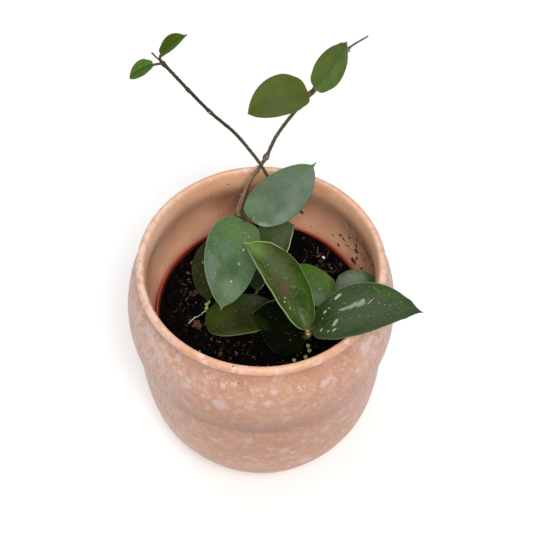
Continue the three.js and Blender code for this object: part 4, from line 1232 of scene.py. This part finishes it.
def leaf_mesh(leaf, seed, groove):
    """A blade, with a midrib sunk by groove mm, and its stalk. Returns points, faces, and at
    each point its place on the blade in millimetres (along, across, and 0 on top, 1 below
    or 2 on the stalk) and its distance from the edge."""
    along, across, up = leaf_axes(leaf)
    arch, bend, twist = (math.radians(leaf.get(k, 0)) for k in ("arch", "bend", "twist"))
    channel = max(0.01, math.radians(leaf["channel"]))
    length = leaf["length"]
    thick, rows, stalk_radius = NEW_LEAF if leaf.get("small") else GROWN_LEAF

    def forward_at(t):
        t = t[:, None]
        return ((along * np.cos(arch * t) - up * np.sin(arch * t)) * np.cos(bend * t)
                + across * np.sin(bend * t))

    steps = np.linspace(0, 1, RUN_STEPS + 1)
    run = np.vstack([[0, 0, 0], np.cumsum(forward_at((steps[1:] + steps[:-1]) / 2), 0)])
    run = np.array(leaf["base"]) + run * length / RUN_STEPS
    t = 0.5 - 0.5 * np.cos(np.pi * np.arange(rows + 1) / rows)
    middle = np.stack([np.interp(t, steps, run[:, i]) for i in range(3)], 1)
    forward = forward_at(t)
    lift = up * np.cos(arch * t)[:, None] + along * np.sin(arch * t)[:, None]
    side = unit(np.cross(lift, forward))
    turned_by = (twist * t)[:, None]
    side = side * np.cos(turned_by) + np.cross(forward, side) * np.sin(turned_by)
    normal = np.cross(forward, side)
    half = leaf["width"] / 2 * leaf_outline(t, leaf["widest"], leaf["blunt"], leaf["point"],
                                            leaf.get("nib", NIB), leaf.get("wedge", WEDGE))
    half = np.maximum(half, 0.3 * np.sqrt(np.clip(np.minimum(t, 1 - t) / 0.012, 0.1, 1)))

    shares = np.array([-u for u in ACROSS[:0:-1]] + ACROSS)
    wide = len(shares)
    points, places, margins = [], [], []
    loose = Vector((seed * 7.3, seed * 3.1, 0))
    for face in (0, 1):
        for i in range(rows + 1):
            round_off = min(0.5 * thick / max(half[i], 0.5), 0.9)
            for u in shares:
                grown = leaf.get("left", 1) if u > 0 else 1
                angle = channel * u * grown
                back = leaf.get("lobe", LOBE) * u * u * math.sin(math.pi * min(t[i] / 0.16, 1))
                over = max(0, (abs(u) - 1 + round_off) / round_off)
                edge = math.sqrt(max(0, 1 - over * over))
                plate = thick * (1 - 0.5 * u * u) * min(1, 0.35 + (1 - t[i]) * 9)
                depth = plate * ((1 - edge) / 2 if face == 0 else (1 + edge) / 2)
                v = u * half[i] * grown
                calm = min(1, t[i] * 6, (1 - t[i]) * 6)
                if face == 0:
                    depth += groove * math.exp(-(v / 0.55) ** 2) * calm
                    depth += 0.05 * math.exp(-(v / 2.2) ** 2) * calm
                else:
                    depth += 0.3 * math.exp(-(v / 0.8) ** 2) * (1 - 0.7 * t[i]) * edge * calm
                wave = noise.noise(Vector((t[i] * length / 9, v / 7, 0)) + loose) * 0.34
                ruffle = noise.noise(Vector((t[i] * length / 5, 4 * np.sign(v), 5)) + loose)
                depth -= (wave + 0.3 * ruffle * u ** 4) * calm
                points.append(middle[i] - forward[i] * back
                              + side[i] * (half[i] * math.sin(angle) / channel)
                              + normal[i] * (half[i] * (1 - math.cos(angle)) / channel)
                              + side[i] * depth * math.sin(angle)
                              - normal[i] * depth * math.cos(angle))
                places.append((t[i] * length, v, face))
                margins.append(half[i] * grown * (1 - abs(u)))
    sheet = (rows + 1) * wide
    faces = []
    for i in range(rows):
        for j in range(wide - 1):
            a, b = i * wide + j, (i + 1) * wide + j
            faces.append((a, b, b + 1, a + 1))
            faces.append((sheet + a, sheet + a + 1, sheet + b + 1, sheet + b))
        faces.append((i * wide, sheet + i * wide, sheet + (i + 1) * wide, (i + 1) * wide))
        a, b = i * wide + wide - 1, (i + 1) * wide + wide - 1
        faces.append((a, b, sheet + b, sheet + a))
    for i, flip in ((0, False), (rows, True)):
        for j in range(wide - 1):
            a = i * wide + j
            loop = (a, a + 1, sheet + a + 1, sheet + a)
            faces.append(loop[::-1] if flip else loop)

    stalk, stalk_faces, gone = leaf_stalk(leaf, stalk_radius, thick)
    count = len(points)
    faces += [tuple(k + count for k in f) for f in stalk_faces]
    points += list(stalk)
    places += [(back, 0.0, 2.0) for back in gone]
    margins += [FAR_FROM_EDGE] * len(stalk)
    return points, faces, places, margins


def leaf_finish(name, look, length):
    """Waxy green skin for one leaf. All sizes in it are millimetres on the blade."""
    finish, tree = new_finish(name + "_skin", look["rough"], Coat_Weight=0.06,
                              Coat_Roughness=0.3, Specular_IOR_Level=look.get("gloss", 0.2))
    where = mark(tree, "blade", vector=True)
    parts = add(tree, "SeparateXYZ", {0: where})
    along, across, face = parts.outputs[0], parts.outputs[1], parts.outputs[2]
    edge = mark(tree, "edge")
    broad = cloud(tree, where, 8.0, 3, 0.55, 1)
    fine = cloud(tree, where, 0.9, 3, 0.6, 1)
    speck = cloud(tree, where, 0.6, 4, 0.7, 1)
    ragged = cloud(tree, where, 3.0, 4, 0.6, 1)
    grain = cloud(tree, stretched(tree, where, (0.16, 1.0, 1.0)), 0.8, 3, 0.65, 1)
    green = layer(tree, between(tree, broad, 0.32, 0.68), look["deep"], look["light"])

    def nearness(place, noise_field, start, stop, most):
        """How near a point is to a place on the blade, with a ragged falloff."""
        x, y, long, wide, spin = place
        local = add(tree, "Mapping", {0: where, "Location": (x, y, 0),
                                      "Rotation": (0, 0, math.radians(spin)),
                                      "Scale": (long, wide, 1)}, vector_type="TEXTURE")
        far = reckon(tree, "ADD", far_from(tree, local.outputs[0]), noise_field)
        return between(tree, far, start, stop, most, 0.0)

    # Soft tints: the leaf's own colours, and painted sheen and painted shade where a look lists
    # them.
    for *place, code, strength in look.get("tints_and_painted_light", ()):
        green = layer(tree, nearness(place, ragged, 0.75, 1.75, strength), green, code)
    darker = add(tree, "HueSaturation", {"Value": 0.72, "Color": green}).outputs[0]
    lighter = add(tree, "HueSaturation", {"Value": 1.28, "Saturation": 0.9,
                                          "Color": green}).outputs[0]
    strength = look["grain"]
    green = layer(tree, between(tree, grain, 0.3, 0.48, strength, 0.0), green, darker)
    green = layer(tree, between(tree, grain, 0.52, 0.7, 0.0, strength), green, lighter)
    green = layer(tree, between(tree, fine, 0.36, 0.46, 0.45, 0.0), green, darker)
    green = layer(tree, between(tree, fine, 0.56, 0.68, 0.0, 0.3), green, lighter)
    if "rib" in look:
        code, strength = look["rib"]
        off_rib = reckon(tree, "ABSOLUTE", across)
        green = layer(tree, between(tree, off_rib, 0.25, 1.1, strength, 0.0), green, code)
    near_tip = 0.9 * length, 0.97 * length
    if "tip" in look:
        green = layer(tree, between(tree, along, *near_tip), green, look["tip"])
    left, right = look["sides"]
    rim = between(tree, edge, 0.12, 0.45, 1.0, 0.0)
    sided = between(tree, across, -1.0, 1.0, right, left)
    if "far_rim" in look:
        start, strength = look["far_rim"]
        far_rim = between(tree, along, start, start + 6, 0.0, strength)
        sided = reckon(tree, "MAXIMUM", sided, far_rim)
    else:
        rim = reckon(tree, "MULTIPLY", rim, between(tree, along, *near_tip, 1.0, 0.15))
    green = layer(tree, reckon(tree, "MULTIPLY", rim, sided), green, look["edge"])
    if look["flecks"]:
        crowd = between(tree, cloud(tree, where, 6.0, 2, 0.5, 1), 0.45, 0.62)
        dust = specks(tree, where, 0.85, 0.1, 0.2, look["flecks"], 1)
        dust = reckon(tree, "MULTIPLY", dust, between(tree, ragged, 0.42, 0.6, 0.1, 0.7))
        tiny = specks(tree, where, 1.5, 0.06, 0.12, look["flecks"], 1)
        large = specks(tree, where, 3.9, 0.03, 0.06, look["flecks"] * 0.7, 1)
        fleck = reckon(tree, "MAXIMUM", reckon(tree, "MULTIPLY", tiny, crowd), large)
        fleck = reckon(tree, "MAXIMUM", reckon(tree, "MULTIPLY", fleck, 0.6), dust)
        green = layer(tree, fleck, green, SILVER)
    if "splashes" in look:
        rough_edge = reckon(tree, "MULTIPLY", speck, 2.0)
        for *place, code in look["splashes"]:
            green = layer(tree, nearness(place, rough_edge, 1.55, 2.1, 0.8), green, code)
    below = between(tree, face, 0.7, 0.95)
    skin = layer(tree, below, green, layer(tree, fine, "6d8a55", "7f9762"))
    stalk = layer(tree, fine, "46502a", "4f4028")
    skin = layer(tree, between(tree, face, 1.4, 1.6), skin, stalk)
    worn = between(tree, fine, 0.3, 0.75, look["rough"] - 0.05, look["rough"] + 0.12)
    coat(tree, skin, reckon(tree, "ADD", worn, reckon(tree, "MULTIPLY", below, 0.15)))
    relief(tree, grain, 0.03, relief(tree, cloud(tree, where, 0.45, 2, 0.5, 1), 0.03))
    return finish


for seed, (name, leaf) in enumerate(LEAVES.items()):
    look = LOOKS[name]
    groove = GROOVE_WITH_RIB if "rib" in look else GROOVE
    points, faces, places, margins = leaf_mesh(leaf, seed, groove)
    make_piece(name + "_waxy", points, faces, leaf_finish(name, look, leaf["length"]),
               [name], {"blade": places, "edge": margins})

# Tiny bright green weeds that came up in the soil by themselves: hair-thin stalks, each
# with one flat round seed leaf, a little cupped.

# Of each sprig: its foot on the soil, and of each of its leaves the shift from the foot and
# the height above the soil.
SEEDLINGS = {
    "seedling_left": ((-27.6, -1.6), [(0.2, 3.4, 2.2), (0.3, 1.3, 2), (1.2, 5.2, 1.8)]),
    "seedling_front": ((23, -25), [(-0.4, 1.6, 4.4), (0.3, -0.3, 3)]),
    "seedling_rim": ((21, -29), [(0.4, 1, 2)]),
    "seedling_low": ((16, -30), [(-0.2, 0.3, 1.8)]),
}
SEED_LEAF, SEED_LEAF_THICK = 1.05, 0.26
SEED_STALK = 0.3

sprout, tree = new_finish("seedling_green", 0.45, Coat_Weight=0.1)
here = on_piece(tree)
fresh = layer(tree, cloud(tree, here, 1.0, 3), "7ba544", "9dbd66")
coat(tree, layer(tree, between(tree, mark(tree, "tone"), 0.4, 0.6), "9aa860", fresh))
relief(tree, cloud(tree, here, 0.3), 0.04)

ball, ball_faces = BALLS[3]
disc = ball * (SEED_LEAF, SEED_LEAF * 0.92, SEED_LEAF_THICK)
disc[:, 2] += 0.22 * (np.hypot(disc[:, 0], disc[:, 1]) / SEED_LEAF) ** 2
disc[:, 0] -= 0.35 * np.exp(-((ball[:, 0] - 1) ** 2 + ball[:, 1] ** 2) / 0.05)
for name, (foot, leaves) in SEEDLINGS.items():
    sprig = Scatter()
    x, y = foot
    low = soil_top(x, y)
    for k, (dx, dy, height) in enumerate(leaves):
        top = np.array([x + dx, y + dy, low + height])
        line, _ = even(bent_line([(x, y, low - 4), (x, y, low + 0.2), top], 30), 0.3)
        sprig.put(*rod(line, SEED_STALK, 8)[:2], tone=0.2)
        spin = k * 1.9 + x
        tipped = np.stack([disc[:, 0] * math.cos(spin) - disc[:, 1] * math.sin(spin),
                           disc[:, 0] * math.sin(spin) + disc[:, 1] * math.cos(spin),
                           disc[:, 2] + 0.16 * disc[:, 0]], 1)
        sprig.put(tipped, ball_faces, 0.9, top)
    sprig.piece(name + "_sprig", sprout, slot="seedling", stands_for=[name])

# A plain pale floor, soft light from wide lamps and a bright even surround, and the camera
# above the front of the pot, looking down into its mouth.

FLOOR_HALF = 4
SURROUND_LIGHT = 0.6
LAMP_AIM = (0, 0, 0.11)
CAMERA_DISTANCE = 0.45
CAMERA_ANGLE = math.radians(55.3)
CAMERA_LENS = 968
CAMERA_SHIFT = (5.2, -5.5)
SENSOR_WIDTH = 36
PICTURE_WIDTH = 533

floor_mesh = bpy.data.meshes.new("floor")
floor_mesh.from_pydata([(x * FLOOR_HALF, y * FLOOR_HALF, 0)
                        for x, y in ((-1, -1), (1, -1), (1, 1), (-1, 1))], [], [(0, 1, 2, 3)])
floor = bpy.data.objects.new("floor", floor_mesh)
bpy.context.scene.collection.objects.link(floor)
matt, tree = new_finish("pale_floor", 0.9, Specular_IOR_Level=0.1)
coat(tree, layer(tree, cloud(tree, on_piece(tree), 400), "f6f6f6", "f4f4f4"))
floor_mesh.materials.append(matt)
floor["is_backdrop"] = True

world = bpy.data.worlds.new("soft_room")
world.use_nodes = True
surround = world.node_tree.nodes["Background"].inputs
surround["Color"].default_value = (1.0, 1.0, 1.0, 1)
surround["Strength"].default_value = SURROUND_LIGHT
bpy.context.scene.world = world


def lamp(name, place, size, power, colour=(1, 1, 1)):
    """A wide square lamp that faces the pot's mouth."""
    light = bpy.data.lights.new(name, "AREA")
    light.size, light.energy, light.color = size, power, colour
    made = bpy.data.objects.new(name, light)
    made.location = place
    made.rotation_mode = "QUATERNION"
    made.rotation_quaternion = (Vector(place) - Vector(LAMP_AIM)).to_track_quat("Z", "Y")
    bpy.context.scene.collection.objects.link(made)


lamp("window", (0.14, -0.61, 1.14), 0.5, 11.9, (1.0, 0.99, 0.972))
lamp("far_glow", (-0.5, 0.9, 1.0), 0.9, 3.5)

lens = bpy.data.cameras.new("photo_camera")
lens.sensor_width = SENSOR_WIDTH
lens.lens = SENSOR_WIDTH * CAMERA_LENS / PICTURE_WIDTH
lens.shift_x, lens.shift_y = (shift / PICTURE_WIDTH for shift in CAMERA_SHIFT)
lens.clip_start = 0.01
camera = bpy.data.objects.new("photo_camera", lens)
camera.location = (0, -CAMERA_DISTANCE * math.cos(CAMERA_ANGLE),
                   POT_HEIGHT * MM + CAMERA_DISTANCE * math.sin(CAMERA_ANGLE))
camera.rotation_euler = (math.pi / 2 - CAMERA_ANGLE, 0, 0)
bpy.context.scene.collection.objects.link(camera)
bpy.context.scene.camera = camera
bpy.context.scene.view_settings.view_transform = "Standard"

low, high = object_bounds()
